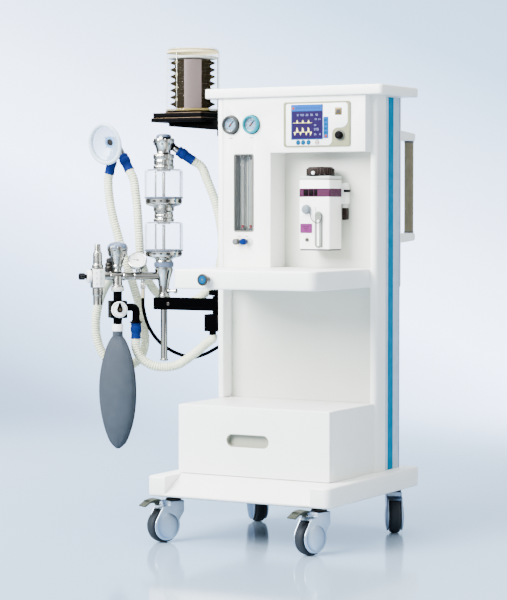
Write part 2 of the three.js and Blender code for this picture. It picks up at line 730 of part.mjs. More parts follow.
function reliefBlock() {
  const [x, y] = onManifold(along.relief);
  const turn = THREE.MathUtils.degToRad(manifold.angle);
  const half = relief.half - gap;
  const { bottom, top, disc, seat } = relief;
  const block = raised(rectangle(-half, -20, half, 20, 3), bottom, top, 1.5)
    .rotateZ(turn).translate(x, y, 0);
  const fitting = turned([
    [0, top - 8], [17, top - 8], [17, top + 12], [14, top + 15], [14.5, top + 50], [9.5, top + 54],
    [9, top + 75], [0, top + 75],
  ], 14).translate(x, y, 0);
  const outlet = turned([
    [0, bottom - 53], [14, bottom - 53], [14, bottom - 27], [16.5, bottom - 23], [16.5, bottom + 8],
    [0, bottom + 8],
  ], 14).translate(x, y, 0);
  const washer = aim(rod(20, disc, seat, 16), heading(), onManifold(along.relief));
  const stub = aim(rod(9, 0, seat, 12), heading(), onManifold(along.relief));
  return join(block, fitting, outlet, washer, stub);
}

function reliefKnob() {
  const start = relief.seat + gap;
  const grip = start + 6;
  const end = grip + 19;
  const profile = [
    [0, start], [7, start], [7, grip], [10.5, grip + 1], [10.5, end - 2], [8.5, end], [0, end],
  ];
  return aim(turned(profile, 12), heading(), onManifold(along.relief));
}

// Second valve, standing on the manifold; its port points away behind it.
function sideValve() {
  const [x, y] = onManifold(along.valve);
  const low = manifold.z + manifold.radius + gap;
  const profile = [
    [0, low], [13, low], [13, 790], [18, 796], [20, 812], [29, 836], [32, 850], [31, 858], [25, 862],
    [20, 868], [0, 871],
  ];
  const body = turned(profile, 18).translate(x, y, 0);
  const { place, direction } = sidePort;
  const neck = aim(rod(10, -56, 4, 12), sidePort.neck, place);
  const elbow = aim(rod(12, -10, 12, 12), direction, place);
  const cuff = aim(cuffShape(30), direction, place);
  return join(body, neck, elbow, cuff);
}

// Round gauge leaning forward on a short stem that stands on the manifold.
function airwayGauge() {
  const [x, y] = onManifold(along.gauge);
  const { radius, place, facing: normal } = dialGauge;
  const foot = manifold.z + manifold.radius + gap;
  const tip = place[2];
  const stem = turned([[0, foot], [10, foot], [10, foot + 8], [8, foot + 10], [8, tip], [0, tip]], 12);
  const head = turned([
    [0, -16], [14, -16], [14, -12], [radius - 4, -12], [radius, -8], [radius, 2], [radius - 2, 4], [0, 4],
  ], 18);
  return join(stem.translate(x, y, 0), aim(head, normal, place));
}

function selectorValve() {
  const [x, y] = onManifold(along.valve);
  const turn = THREE.MathUtils.degToRad(manifold.angle + 180);
  const { top, bottom, half } = selector;
  const block = raised(rectangle(-half, -half, half, half, 4), bottom, top, 2);
  const plate = aim(rod(25, half - 1, half + 4, 18), [0, -1, 0], [0, 0, (top + bottom) / 2]);
  const neck = rod(14, bottom - 20, bottom + 1);
  const ring = turned([[0, bottom - 41], [17, bottom - 41], [17, bottom - 19], [0, bottom - 19]], 14);
  const arch = new THREE.QuadraticBezierCurve3(
    new THREE.Vector3(half - 4, 0, top - 21), new THREE.Vector3(selector.elbow, 0, top - 19),
    new THREE.Vector3(selector.elbow, 0, bottom - 7));
  const bend = tube(arch.getPoints(6).map((point) => point.toArray()), 12, 14, 8);
  const rim = bottom - 16;
  const collar = turned([[0, rim], [20, rim], [20, rim + 5], [12, rim + 9], [0, rim + 9]], 14)
    .translate(selector.elbow, 0, 0);
  const cuff = rod(cuffRadius, selector.cuffEnd, rim + 1, 12).translate(selector.elbow, 0, 0);
  return join(block, plate, neck, ring, bend, collar, cuff).rotateZ(turn).translate(x, y, 0);
}

function selectorLever() {
  const [x, y] = onManifold(along.valve);
  const turn = THREE.MathUtils.degToRad(manifold.angle + 180);
  const middle = (selector.top + selector.bottom) / 2;
  const start = selector.half + 4 + gap;
  const hub = aim(rod(11, start, start + 7, 14), [0, -1, 0], [0, 0, middle]);
  const pointer = new THREE.Shape();
  pointer.moveTo(-9, middle);
  pointer.quadraticCurveTo(-7, middle + 12, 0, middle + 23);
  pointer.quadraticCurveTo(7, middle + 12, 9, middle);
  pointer.closePath();
  const blade = acrossY(pointer, -start - 6, -start);
  return join(hub, blade).rotateZ(turn).translate(x, y, 0);
}

// The breathing bag hangs from the selector with its grey neck.
function breathingBag() {
  const [x, y] = onManifold(along.valve);
  const { top, bottom, radius, neck, tail, flat } = bag;
  const mouth = selector.bottom - 41 - gap;
  const profile = [[0, bottom], [tail, bottom]];
  const rings = 14;
  for (let ring = 1; ring < rings; ring += 1) {
    const part = ring / rings;
    profile.push([radius * Math.sqrt(Math.sin(Math.PI * part)), bottom + (top - bottom) * part]);
  }
  profile.push([neck, top], [neck, mouth], [0, mouth]);
  return turned(profile, 14).scale(1, flat, 1).translate(x, y, 0);
}

// ---------------------------------------------------------------- patient circuit
// Each port gives the place and direction in which its hose leaves.
const topPort = { place: [-468, 146, 1158], direction: [0.66, 0.5, -0.56] };
const sidePort = { place: [-650, 45, 809], direction: [0, 0.06, -1], neck: [-47, 30, -16] };
const mask = { centre: [-677, 60, 1176], lean: 0.18, depth: 46, wide: 1.12, tall: 1.24 };
const yPiece = { centre: [-677, 121.6, 1187.1], left: [-0.24, 0.02, -0.96], right: [0.48, 0, -0.88] };
yPiece.cuff = [52, 107];            // where a cuff starts and ends along its limb

// Face mask: an egg-shaped cup with a soft rolled rim, hollow, and the ring of its connector behind.
function faceMask() {
  const sides = 22;
  const { depth } = mask;
  const outer = [
    [0, depth], [14, depth], [16, 30], [30, 22], [44, 8], [52, 6], [55, 0], [51, -6], [44, -5],
  ];
  const inner = [[38, 4], [25, 16], [11, 26], [11, depth - 4], [0, depth - 4]];
  const cup = turned([...outer, ...inner].reverse(), sides).scale(mask.wide, mask.tall, 1);
  const egg = cup.attributes.position;
  for (let index = 0; index < egg.count; index += 1) {
    const y = egg.getY(index);
    const taper = y < 0 ? 1 - 0.16 * (y / 68) ** 2 : 1 + 0.04 * (y / 68) ** 2;
    egg.setX(index, egg.getX(index) * taper);
  }
  const [x, y, z] = mask.centre;
  return cup.rotateX(mask.lean - Math.PI / 2).translate(x, y, z);
}

function yFitting() {
  const { centre, left, right, cuff } = yPiece;
  const stem = rod(12, -16, 4, 12).rotateX(mask.lean - Math.PI / 2).translate(...centre);
  const limbs = [left, right].map((direction) => aim(rod(10, -4, cuff[0] + 4, 12), direction, centre));
  const cuffs = [left, right].map((direction) => aim(rod(cuffRadius, ...cuff, 12), direction, centre));
  return join(stem, ...limbs, ...cuffs);
}

// A point a distance beyond a place in a direction.
function beyond(place, direction, distance) {
  const unit = new THREE.Vector3(...direction).normalize();
  return new THREE.Vector3(...place).addScaledVector(unit, distance).toArray();
}

// Each hose leaves a fitting, follows its route and ends straight in the next one.
const yEnd = (direction, extra = 0) => beyond(yPiece.centre, direction, yPiece.cuff[1] + gap + extra);
const elbowEnd = (drop = 0) => {
  const side = selector.elbow * Math.SQRT1_2;
  const [x, y] = onManifold(along.valve);
  return [x + side, y + side, selector.cuffEnd - gap - drop];
};
const gasEnd = (drop = 0) => onManifold(along.gasPort, gasFitting.bottom - drop);
const portEnd = (port, drop = 0) => [port.x, port.y, port.end - gap - drop];

const hoseRoutes = {
  hose_expiratory: [
    yEnd(yPiece.left), yEnd(yPiece.left, 14),
    [-703, 120, 1030], [-690, 115, 970], [-671, 118, 899], [-642, 120, 811], [-614, 122, 735], [-586, 124, 647],
    [-568, 120, 566], [-572, 114, 522], [-593, 106, 490], [-629, 98, 474], [-674, 92, 485],
    [-708, 86, 519], [-724, 80, 570], [-722, 74, 624], [-705, 66, 679], [-677, 56, 725],
    beyond(sidePort.place, sidePort.direction, 55), beyond(sidePort.place, sidePort.direction, 30 + gap),
  ],
  hose_inspiratory: [
    yEnd(yPiece.right), yEnd(yPiece.right, 30),
    [-598, 116, 1010], [-590, 114, 950], [-587, 116, 890], [-586, 124, 818], [-580, 146, 760],
    [-562, 166, 716], [-531, 178, 688], [-482, 184, 673], [-428, 186, 683], [-382, 188, 715],
    [-346, 189, 766], [-328, 189, 844], [-333, 188, 922], [-350, 186, 993], [-376, 184, 1056],
    beyond(topPort.place, topPort.direction, 94), beyond(topPort.place, topPort.direction, 64 + gap),
  ],
  hose_ventilator: [
    elbowEnd(), elbowEnd(30), [-548, 62, 508], [-519, 76, 486], [-486, 92, 479], [-443, 108, 486],
    [-401, 112, 511], [-365, 114, 537], [-336, 114, 560],
    portEnd(ventilatorPort, 10), portEnd(ventilatorPort),
  ],
  hose_gas: [
    gasEnd(), gasEnd(22), [-543, 90, 620], [-534, 116, 577], [-518, 146, 544], [-483, 168, 519],
    [-434, 184, 506], [-389, 192, 518], [-348, 190, 538], [-313, 171, 550], [-292, 149, 560],
    portEnd(gasPort, 13), portEnd(gasPort),
  ],
};

function addHoses() {
  add('hose_expiratory', tube(hoseRoutes.hose_expiratory, hoseRadius, 10, 30), hosePlastic);
  add('hose_inspiratory', tube(hoseRoutes.hose_inspiratory, hoseRadius, 10, 30), hosePlastic);
  add('hose_ventilator', tube(hoseRoutes.hose_ventilator, hoseRadius, 10, 12), hosePlastic);
  add('hose_gas', tube(hoseRoutes.hose_gas, gasHoseRadius, 8, 26), rubber);
}

// ---------------------------------------------------------------- assembly
add('base_platform', basePlatform(), white);
addCasters();
add('left_side_panel', leftSidePanel(), white);
add('right_side_panel', rightSidePanel(), white);
add('inner_panel', innerPanel(), white);
add('rear_cover', rearCover(), white);
add('head_housing', headHousing(), white);
add('top_shelf', topShelf(), white);
add('worktop', worktopSlab(), white);
add('drawer_housing', drawerHousing(), white);
add('drawer', drawer(), white);
add('handle_bracket_upper', handleBracket(handle.high), offWhite);
add('handle_bracket_lower', handleBracket(handle.low), offWhite);
add('handle_bar', handleBar(), bronze);

add('pressure_gauge_left', pressureGauge(gauge.x[0]), grey);
add('pressure_gauge_right', pressureGauge(gauge.x[1]), turquoise);
add('flowmeter', flowmeterBlock(), darkGrey);
add('flow_knob_left', flowKnobShape(flowKnob.x[0]), grey);
add('flow_knob_right', flowKnobShape(flowKnob.x[1]), blue);
add('monitor', monitorUnit(), beige);
add('encoder_knob', encoderKnob(), black);
add('flush_button', flushButton(), cyan);

add('vaporizer_body', vaporizerBody(), offWhite);
add('vaporizer_dial', vaporizerDial(), brown);
add('vaporizer_lock_lever', lockLever(), black);
add('vaporizer_filler_cap', fillerCap(), silver);

add('bellows_base', bellowsBase(), black);
add('bellows_dome', bellowsDome(), amber);
add('bellows_stack', bellowsStack(), rubber);
add('bellows_disc', bellowsDisc(), offWhite);

add('arm_post', armPost(), black);
add('absorber_arm', absorberArm(), black);
add('absorber_stem', absorberStem(), chrome);
add('canister_lower', jarGlass(jar.lowBase + jar.skirt + gap, jar.lowTop), glass);
add('canister_neck', canisterNeck(), chrome);
add('canister_upper', jarGlass(jar.highBase + jar.skirt + gap, jar.highTop), glass);
add('top_valve', topValve(), chrome);
add('manifold_pipe', manifoldPipe(), chrome);
add('relief_block', reliefBlock(), chrome);
add('relief_knob', reliefKnob(), black);
add('side_valve', sideValve(), chrome);
add('airway_gauge', airwayGauge(), offWhite);
add('selector_valve', selectorValve(), black);
add('selector_lever', selectorLever(), black);
add('breathing_bag', breathingBag(), greyRubber);
add('face_mask', faceMask(), glass);
add('y_piece', yFitting(), chrome);
addHoses();

// The origin goes to the floor under the middle of the rigid parts, leaving out the patient circuit.
const circuit = ['face_mask', 'y_piece', ...Object.keys(hoseRoutes)];
machine.updateMatrixWorld(true);
const extent = new THREE.Box3();
machine.traverse((node) => {
  if (node.isMesh && !circuit.includes(node.name)) extent.expandByObject(node, true);
});
machine.position.set(
  -(extent.min.x + extent.max.x) / 2, -(extent.min.y + extent.max.y) / 2, -extent.min.z);

export default machine;
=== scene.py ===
"""Looks of a trolley-mounted anesthesia machine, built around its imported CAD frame.

Pieces are built in the cabinet's own millimetres: X to the right, Y to the back, Z up, from the centre
of the base on the floor. piece() moves a finished mesh into the frame, which is in metres.
"""
import json
import math

import bmesh
import bpy
from mathutils import Matrix, Vector

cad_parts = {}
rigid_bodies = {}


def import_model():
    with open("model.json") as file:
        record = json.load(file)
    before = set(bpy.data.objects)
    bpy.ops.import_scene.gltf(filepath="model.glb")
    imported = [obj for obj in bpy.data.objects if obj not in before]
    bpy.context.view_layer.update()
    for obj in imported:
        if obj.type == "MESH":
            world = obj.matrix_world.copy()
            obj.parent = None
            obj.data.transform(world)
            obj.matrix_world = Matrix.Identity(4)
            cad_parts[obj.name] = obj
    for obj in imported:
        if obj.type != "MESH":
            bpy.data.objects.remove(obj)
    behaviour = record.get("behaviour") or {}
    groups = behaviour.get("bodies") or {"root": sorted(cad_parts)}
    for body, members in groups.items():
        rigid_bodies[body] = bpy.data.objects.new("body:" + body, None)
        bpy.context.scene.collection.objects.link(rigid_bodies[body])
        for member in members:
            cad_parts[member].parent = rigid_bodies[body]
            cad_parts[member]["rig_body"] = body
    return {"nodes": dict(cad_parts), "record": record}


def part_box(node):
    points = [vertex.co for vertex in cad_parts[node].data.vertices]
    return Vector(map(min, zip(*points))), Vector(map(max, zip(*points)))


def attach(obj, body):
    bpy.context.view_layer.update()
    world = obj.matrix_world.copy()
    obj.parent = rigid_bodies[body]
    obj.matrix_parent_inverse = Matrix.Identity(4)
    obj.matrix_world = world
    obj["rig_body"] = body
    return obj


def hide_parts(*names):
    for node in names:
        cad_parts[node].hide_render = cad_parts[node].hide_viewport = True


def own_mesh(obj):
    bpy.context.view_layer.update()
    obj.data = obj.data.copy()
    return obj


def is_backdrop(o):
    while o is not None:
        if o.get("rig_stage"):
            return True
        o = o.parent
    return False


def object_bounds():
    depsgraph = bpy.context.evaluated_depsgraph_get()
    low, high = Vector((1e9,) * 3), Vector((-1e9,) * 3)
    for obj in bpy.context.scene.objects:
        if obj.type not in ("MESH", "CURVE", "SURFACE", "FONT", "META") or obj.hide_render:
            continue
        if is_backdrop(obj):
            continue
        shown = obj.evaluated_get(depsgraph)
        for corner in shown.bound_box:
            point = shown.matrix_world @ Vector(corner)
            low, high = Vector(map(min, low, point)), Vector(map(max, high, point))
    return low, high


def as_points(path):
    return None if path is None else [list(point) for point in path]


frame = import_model()
cad_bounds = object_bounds()

# ---------------------------------------------------------------- the frame's driving places
MM = 0.001
GAP = 0.3
base_low, base_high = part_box("base_platform")
CENTRE = Vector(((base_low.x + base_high.x) / 2, (base_low.y + base_high.y) / 2, 0))
TO_FRAME = Matrix.Translation(CENTRE) @ Matrix.Scale(MM, 4)


def in_frame(x, y, z):
    return TO_FRAME @ Vector((x, y, z))


def limits(node):
    """A CAD node's lowest and highest corners in cabinet millimetres."""
    return [TO_FRAME.inverted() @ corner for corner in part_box(node)]


# ---------------------------------------------------------------- camera
GLOW = {"edge": 0.90, "full": 0.972, "slant": 0.436, "strength": 8, "room": (0.11, 0.12, 0.13)}
# The glow's colours run from the floor's far edge up the wall.
GLOW_STOPS = [
    (0.03, (0.078, 0.120, 0.182)), (0.10, (0.099, 0.166, 0.242)), (0.17, (0.141, 0.204, 0.302)),
    (0.31, (0.302, 0.413, 0.582)), (0.45, (0.588, 0.693, 0.963)), (0.55, (0.516, 0.588, 0.800)),
    (0.63, (0.379, 0.481, 0.655)), (0.785, (0.182, 0.287, 0.413)), (0.94, (0.155, 0.229, 0.328)),
]
# The camera's right, across which the painted reflection streaks on metal and the floor's painted shade are
# laid.
PAINTED_LIGHT_ACROSS = (0.873, 0.488)
CAMERA = {"place": (2952.6, -5476.2, 965.5), "azimuth": 29.216, "down": 2.427, "lens": 126.07}


def add_camera():
    camera = bpy.data.objects.new("camera", bpy.data.cameras.new("camera"))
    bpy.context.scene.collection.objects.link(camera)
    camera.data.sensor_width = 36
    camera.data.lens = CAMERA["lens"]
    camera.data.clip_end = 100
    camera.location = in_frame(*CAMERA["place"])
    tilt = math.radians(90 - CAMERA["down"])
    camera.rotation_euler = (tilt, 0, math.radians(CAMERA["azimuth"]))
    bpy.context.scene.camera = camera


# ---------------------------------------------------------------- materials
def new_material(name, color, roughness=0.5, metallic=0.0, **sockets):
    material = bpy.data.materials.new(name)
    material.use_nodes = True
    shader = material.node_tree.nodes["Principled BSDF"]
    shader.inputs["Base Color"].default_value = (*color, 1)
    shader.inputs["Roughness"].default_value = roughness
    shader.inputs["Metallic"].default_value = metallic
    for socket, value in sockets.items():
        shader.inputs[socket.replace("_", " ")].default_value = value
    material.diffuse_color = (*color, 1)
    return material


def node(material, kind, **settings):
    made = material.node_tree.nodes.new(kind)
    for key, value in settings.items():
        if key in made.inputs:
            made.inputs[key].default_value = value
        else:
            setattr(made, key, value)
    return made


def link(material, source, target):
    material.node_tree.links.new(source, target)


def shader_of(material):
    return material.node_tree.nodes["Principled BSDF"]


def object_noise(material, scale, detail=3.0, stretch=(1, 1, 1)):
    """Noise fixed to the object, in metres."""
    place = node(material, "ShaderNodeTexCoord")
    mapping = node(material, "ShaderNodeMapping")
    mapping.inputs["Scale"].default_value = stretch
    noise = node(material, "ShaderNodeTexNoise")
    noise.inputs["Scale"].default_value = scale
    noise.inputs["Detail"].default_value = detail
    link(material, place.outputs["Object"], mapping.inputs["Vector"])
    link(material, mapping.outputs["Vector"], noise.inputs["Vector"])
    return noise


def vary_color(material, noise, color, other, low=0.35, high=0.65):
    ramp = node(material, "ShaderNodeValToRGB")
    ramp.color_ramp.elements[0].position = low
    ramp.color_ramp.elements[0].color = (*color, 1)
    ramp.color_ramp.elements[1].position = high
    ramp.color_ramp.elements[1].color = (*other, 1)
    link(material, noise.outputs["Fac"], ramp.inputs["Fac"])
    link(material, ramp.outputs["Color"], shader_of(material).inputs["Base Color"])


def vary_roughness(material, noise, low, high):
    spread = node(material, "ShaderNodeMapRange")
    spread.inputs["To Min"].default_value = low
    spread.inputs["To Max"].default_value = high
    link(material, noise.outputs["Fac"], spread.inputs["Value"])
    link(material, spread.outputs["Result"], shader_of(material).inputs["Roughness"])


def add_bump(material, noise, strength, distance):
    bump = node(material, "ShaderNodeBump")
    bump.inputs["Strength"].default_value = strength
    bump.inputs["Distance"].default_value = distance
    link(material, noise.outputs["Fac"], bump.inputs["Height"])
    link(material, bump.outputs["Normal"], shader_of(material).inputs["Normal"])


def paint(name, color, roughness=0.38, coat=0.25):
    """Powder coat: a fine orange peel and a faint mottle."""
    material = new_material(name, color, roughness, Coat_Weight=coat, Coat_Roughness=0.25)
    mottle = object_noise(material, 9, 2)
    vary_color(material, mottle, color, tuple(channel * 0.965 for channel in color))
    vary_roughness(material, object_noise(material, 60, 2), roughness - 0.05, roughness + 0.07)
    add_bump(material, object_noise(material, 900, 2), 0.12, 0.0004)
    return material


def plastic(name, color, roughness=0.4, grain=1400, bump=0.15, specular=0.5, **sockets):
    material = new_material(name, color, roughness, Specular_IOR_Level=specular, **sockets)
    vary_color(material, object_noise(material, 35, 2), color,
               tuple(channel * 0.9 for channel in color))
    vary_roughness(material, object_noise(material, 120, 2), roughness - 0.05, roughness + 0.08)
    add_bump(material, object_noise(material, grain, 2), bump, 0.0003)
    return material


def metal(name, color, roughness, stretch=(1, 1, 1), grain=500, bump=0.05):
    material = new_material(name, color, roughness, 1.0)
    brushed = object_noise(material, grain, 3, stretch)
    vary_color(material, object_noise(material, 40, 2), color,
               tuple(channel * 0.9 for channel in color))
    vary_roughness(material, brushed, roughness * 0.7, roughness * 1.4)
    add_bump(material, brushed, bump, 0.0002)
    return material


def chrome(name, bright, dark, roughness):
    """Polished metal whose base colour carries painted reflection streaks: bright and dark bands set by the
    surface's facing, standing for what a studio leaves round an upright shape.
    """
    material = new_material(name, bright, roughness, 1.0)
    place = node(material, "ShaderNodeTexCoord")
    across = node(material, "ShaderNodeVectorMath", operation="DOT_PRODUCT")
    across.inputs[1].default_value = (0.5 * PAINTED_LIGHT_ACROSS[0], 0.5 * PAINTED_LIGHT_ACROSS[1], 0.08)
    link(material, place.outputs["Normal"], across.inputs[0])
    shift = node(material, "ShaderNodeMath", operation="ADD")
    shift.inputs[1].default_value = 0.5
    link(material, across.outputs["Value"], shift.inputs[0])
    # Painted reflection: the ramp sets the base colour from dark to bright by the surface's facing.
    ramp = node(material, "ShaderNodeValToRGB")
    stops = [(0.0, 0.0), (0.10, 0.05), (0.2, 0.75), (0.33, 1.0), (0.45, 0.85), (0.55, 0.35),
             (0.62, 0.08),
             (0.7, 0.2), (0.8, 0.9), (0.88, 0.5), (0.95, 0.0), (1.0, 0.0)]
    for index, (position, part) in enumerate(stops):
        color = tuple(low + (high - low) * part for low, high in zip(dark, bright))
        if index in (0, len(stops) - 1):
            element = ramp.color_ramp.elements[0 if index == 0 else -1]
            element.position = position
        else:
            element = ramp.color_ramp.elements.new(position)
        element.color = (*color, 1)
    link(material, shift.outputs["Value"], ramp.inputs["Fac"])
    link(material, ramp.outputs["Color"], shader_of(material).inputs["Base Color"])
    wear = object_noise(material, 300, 3)
    vary_roughness(material, wear, roughness * 0.7, roughness * 1.4)
    add_bump(material, wear, 0.02, 0.0002)
    return material


def clear(name, color, alpha, roughness=0.04, bump=0.02, edge=None, edge_color=None, specular=0.5,
          spread=(0.35, 0.95)):
    """Clear plastic or glass; its rim, seen edge on, is denser than its middle."""
    material = new_material(name, color, roughness, Alpha=alpha, Specular_IOR_Level=specular)
    vary_roughness(material, object_noise(material, 30, 2), roughness, roughness + 0.06)
    add_bump(material, object_noise(material, 25, 1), bump, 0.002)
    if edge is not None:
        weight = node(material, "ShaderNodeLayerWeight", Blend=0.3)
        ramp = node(material, "ShaderNodeMapRange")
        ramp.inputs["From Min"].default_value = spread[0]
        ramp.inputs["From Max"].default_value = spread[1]
        ramp.inputs["To Min"].default_value = alpha
        ramp.inputs["To Max"].default_value = edge
        link(material, weight.outputs["Facing"], ramp.inputs["Value"])
        link(material, ramp.outputs["Result"], shader_of(material).inputs["Alpha"])
    if edge_color is not None:
        blend = node(material, "ShaderNodeMix", data_type="RGBA")
        blend.inputs[6].default_value = (*color, 1)
        blend.inputs[7].default_value = (*edge_color, 1)
        link(material, weight.outputs["Facing"], blend.inputs[0])
        link(material, blend.outputs[2], shader_of(material).inputs["Base Color"])
    return material


def glow(name, color, strength):
    """A lit patch of a display."""
    material = new_material(name, color, 0.25, Emission_Strength=strength)
    shader_of(material).inputs["Emission Color"].default_value = (*color, 1)
    shader_of(material).inputs["Specular IOR Level"].default_value = 0.05
    vary_roughness(material, object_noise(material, 200, 2), 0.3, 0.4)
    return material


WHITE = paint("white_powder_coat", (0.88, 0.885, 0.845))
# Painted shade: the white paint darkened for the alcove's inner walls and the drawer tray, which sit in
# shade.
SHADE_WHITE = paint("shaded_powder_coat", (0.60, 0.62, 0.55), 0.45)
OFF_WHITE = plastic("off_white_plastic", (0.50, 0.53, 0.50), 0.42)
BAND_GREY = plastic("band_grey", (0.42, 0.52, 0.62), 0.5, specular=0.1)
TEAL = plastic("teal_stripe", (0.0, 0.16, 0.29), 0.5, bump=0.05, specular=0.0)
DEEP_BLUE = plastic("deep_blue_edge", (0.05, 0.15, 0.42), 0.5, specular=0.05)
BEIGE = plastic("beige_bezel", (0.22, 0.225, 0.125), 0.5, specular=0.2)
FACE_WHITE = plastic("white_face_plate", (0.90, 0.90, 0.90), 0.4, bump=0.04)
GREY = plastic("grey_plastic", (0.062, 0.070, 0.072), 0.4, specular=0.3)
DARK = plastic("dark_plastic", (0.003, 0.003, 0.0035), 0.45, specular=0.02)
DARK_SHELL = plastic("dark_socket", (0.022, 0.024, 0.026), 0.5, specular=0.15)
BROWN = plastic("dark_brown_plastic", (0.013, 0.007, 0.0055), 0.42, bump=0.3, specular=0.12)
TURQUOISE = plastic("turquoise_bezel", (0.0, 0.20, 0.26), 0.4, specular=0.05)
DIAL_FACE = plastic("dial_face", (0.16, 0.29, 0.42), 0.45, bump=0.02, specular=0.1)
INK = plastic("dark_ink", (0.001, 0.0015, 0.0025), 0.5, specular=0.02)
FAINT_INK = plastic("faint_ink", (0.10, 0.11, 0.115), 0.5, specular=0.1)
RED = plastic("red_float", (0.12, 0.0, 0.001), 0.4, specular=0.0)
KNOB_BLUE = plastic("blue_knob", (0.001, 0.012, 0.085), 0.4, specular=0.03)
CYAN = plastic("cyan_button", (0.0, 0.062, 0.150), 0.4, bump=0.05, specular=0.0)
MAGENTA = plastic("magenta_band", (0.045, 0.007, 0.030), 0.35, bump=0.05, specular=0.1)
MAGENTA_LIGHT = plastic("magenta_label", (0.11, 0.013, 0.09), 0.4, bump=0.05, specular=0.1)
WINDOW_DARK = plastic("dark_window", (0.002, 0.0008, 0.0015), 0.5, bump=0.02, specular=0.03)
GREY_STRIP = plastic("grey_green_strip", (0.14, 0.165, 0.135), 0.45, specular=0.2)
GOLD = metal("gold_badge", (0.10, 0.07, 0.024), 0.4)
CHROME = chrome("chrome", (0.90, 0.88, 0.81), (0.014, 0.013, 0.012), 0.14)
SATIN = chrome("satin_steel", (0.64, 0.63, 0.57), (0.045, 0.042, 0.034), 0.26)
# Painted shade: a darkened copy of the steel, for small steel parts that sit in shadow.
STEEL_DARK = metal("shadowed_steel", (0.06, 0.055, 0.05), 0.3)
SILVER = chrome("caster_silver", (0.62, 0.74, 0.86), (0.14, 0.23, 0.38), 0.4)
# Painted shade: the finger slot's lining and back, darkened as the slot's inner shade.
SLOT_SHADE = paint("slot_shade", (0.30, 0.31, 0.24), 0.5)
FLOW_FRAME = plastic("flowmeter_frame", (0.12, 0.125, 0.105), 0.45, specular=0.15)
FLOW_BACK = plastic("flowmeter_backing", (0.28, 0.31, 0.26), 0.5, specular=0.1)
RING_GREY = plastic("gauge_ring_grey", (0.040, 0.044, 0.044), 0.4, specular=0.1)
CAP_GREY = plastic("cap_bluish_grey", (0.13, 0.17, 0.20), 0.4, specular=0.25)
KEY_GREY = plastic("key_strip_grey", (0.17, 0.19, 0.165), 0.42, specular=0.1)
CREAM = plastic("dome_cream", (0.60, 0.52, 0.30), 0.4, specular=0.2)
BRASS_CREAM = plastic("cream_ferrule", (0.42, 0.37, 0.22), 0.35)
BLUE_CAP = plastic("pale_blue_cap", (0.085, 0.118, 0.19), 0.2, specular=0.3, Coat_Weight=0.2)
BRONZE = metal("bronze_edge", (0.08, 0.055, 0.035), 0.35)
BAR_METAL = metal("handle_bar_metal", (0.19, 0.17, 0.115), 0.45, (1, 1, 0.02), 700, 0.2)
BLACK_GLOSS = plastic("black_gloss", (0.0007, 0.0007, 0.0009), 0.42, bump=0.02, specular=0.012)
BLACK_PAINT = plastic("black_paint", (0.0007, 0.0007, 0.0009), 0.55, bump=0.06, specular=0.0)
TYRE = plastic("tyre_rubber", (0.014, 0.018, 0.023), 0.6, 900, 0.3, specular=0.15)
PEDAL = plastic("pedal_plastic", (0.035, 0.040, 0.030), 0.5, specular=0.1)
RUBBER = plastic("bellows_rubber", (0.0010, 0.0008, 0.0010), 0.45, 700, 0.2, specular=0.0)
GAS_RUBBER = plastic("gas_hose_rubber", (0.0009, 0.0009, 0.0011), 0.4, 700, 0.1, specular=0.0)
HOSE = plastic("hose_plastic", (0.66, 0.69, 0.50), 0.45, 500, 0.1)
CUFF_BLUE = plastic("cuff_blue", (0.003, 0.013, 0.095), 0.5, specular=0.04)
CUFF_LIGHT = plastic("cuff_blue_light", (0.002, 0.013, 0.088), 0.5, specular=0.04)
BAG_RUBBER = plastic("bag_rubber", (0.039, 0.048, 0.060), 0.6, 400, 0.25, specular=0.04)
BAG_SEAM = plastic("bag_seam", (0.014, 0.015, 0.017), 0.6, 400, 0.2, specular=0.02)
JAR_CLEAR = clear("clear_jar", (0.75, 0.78, 0.80), 0.04, edge=0.85, edge_color=(0.07, 0.07, 0.07))
JAR_EDGE = clear("jar_edge", (0.07, 0.09, 0.13), 0.75)
DOME_CLEAR = clear("dome_clear", (0.16, 0.13, 0.08), 0.03, edge=0.95, edge_color=(0.30, 0.20, 0.02),
                   specular=0.1,
                   spread=(0.55, 0.9))
DOME_TINT = clear("dome_tint", (0.22, 0.17, 0.045), 0.6)
STRIP_CLEAR = clear("dome_scale_strip", (0.12, 0.085, 0.085), 0.9, 0.3)
MASK_SOFT = clear("mask_silicone", (0.45, 0.60, 0.78), 0.40, 0.25, 0.1, edge=0.9)
MASK_RIM = clear("mask_rim", (0.60, 0.72, 0.82), 0.65, 0.25, 0.1, edge=0.95)
RING_BLUE = plastic("hook_ring", (0.12, 0.28, 0.52), 0.3, specular=0.2)
SCREEN = glow("screen_field", (0.007, 0.0016, 0.034), 0.4)
SCREEN_CYAN = glow("screen_cyan", (0.0, 0.066, 0.30), 0.1)
SCREEN_EDGE = glow("screen_edge", (0.002, 0.04, 0.16), 0.4)
TRACE = glow("screen_trace", (0.80, 0.72, 0.25), 0.8)
TRACE_PALE = glow("screen_figures", (0.15, 0.18, 0.38), 0.5)
# Glows: real for the screen's lamps, painted light on the gauges' orange hub dots.
ORANGE = glow("orange_glow", (0.20, 0.030, 0.0), 0.1)


# ---------------------------------------------------------------- shapes
def rounded(x0, y0, x1, y1, corner, steps=6):
    """A rectangle's outline with round corners."""
    centres = [(x1 - corner, y1 - corner, 0), (x0 + corner, y1 - corner, 90),
               (x0 + corner, y0 + corner, 180), (x1 - corner, y0 + corner, 270)]
    points = []
    for x, y, start in centres:
        for step in range(steps + 1):
            angle = math.radians(start + 90 * step / steps)
            points.append((x + corner * math.cos(angle), y + corner * math.sin(angle)))
    return points


def arc(x, y, radius, start, end, steps=12):
    angles = [math.radians(start + (end - start) * step / steps) for step in range(steps + 1)]
    return [(x + radius * math.cos(angle), y + radius * math.sin(angle)) for angle in angles]


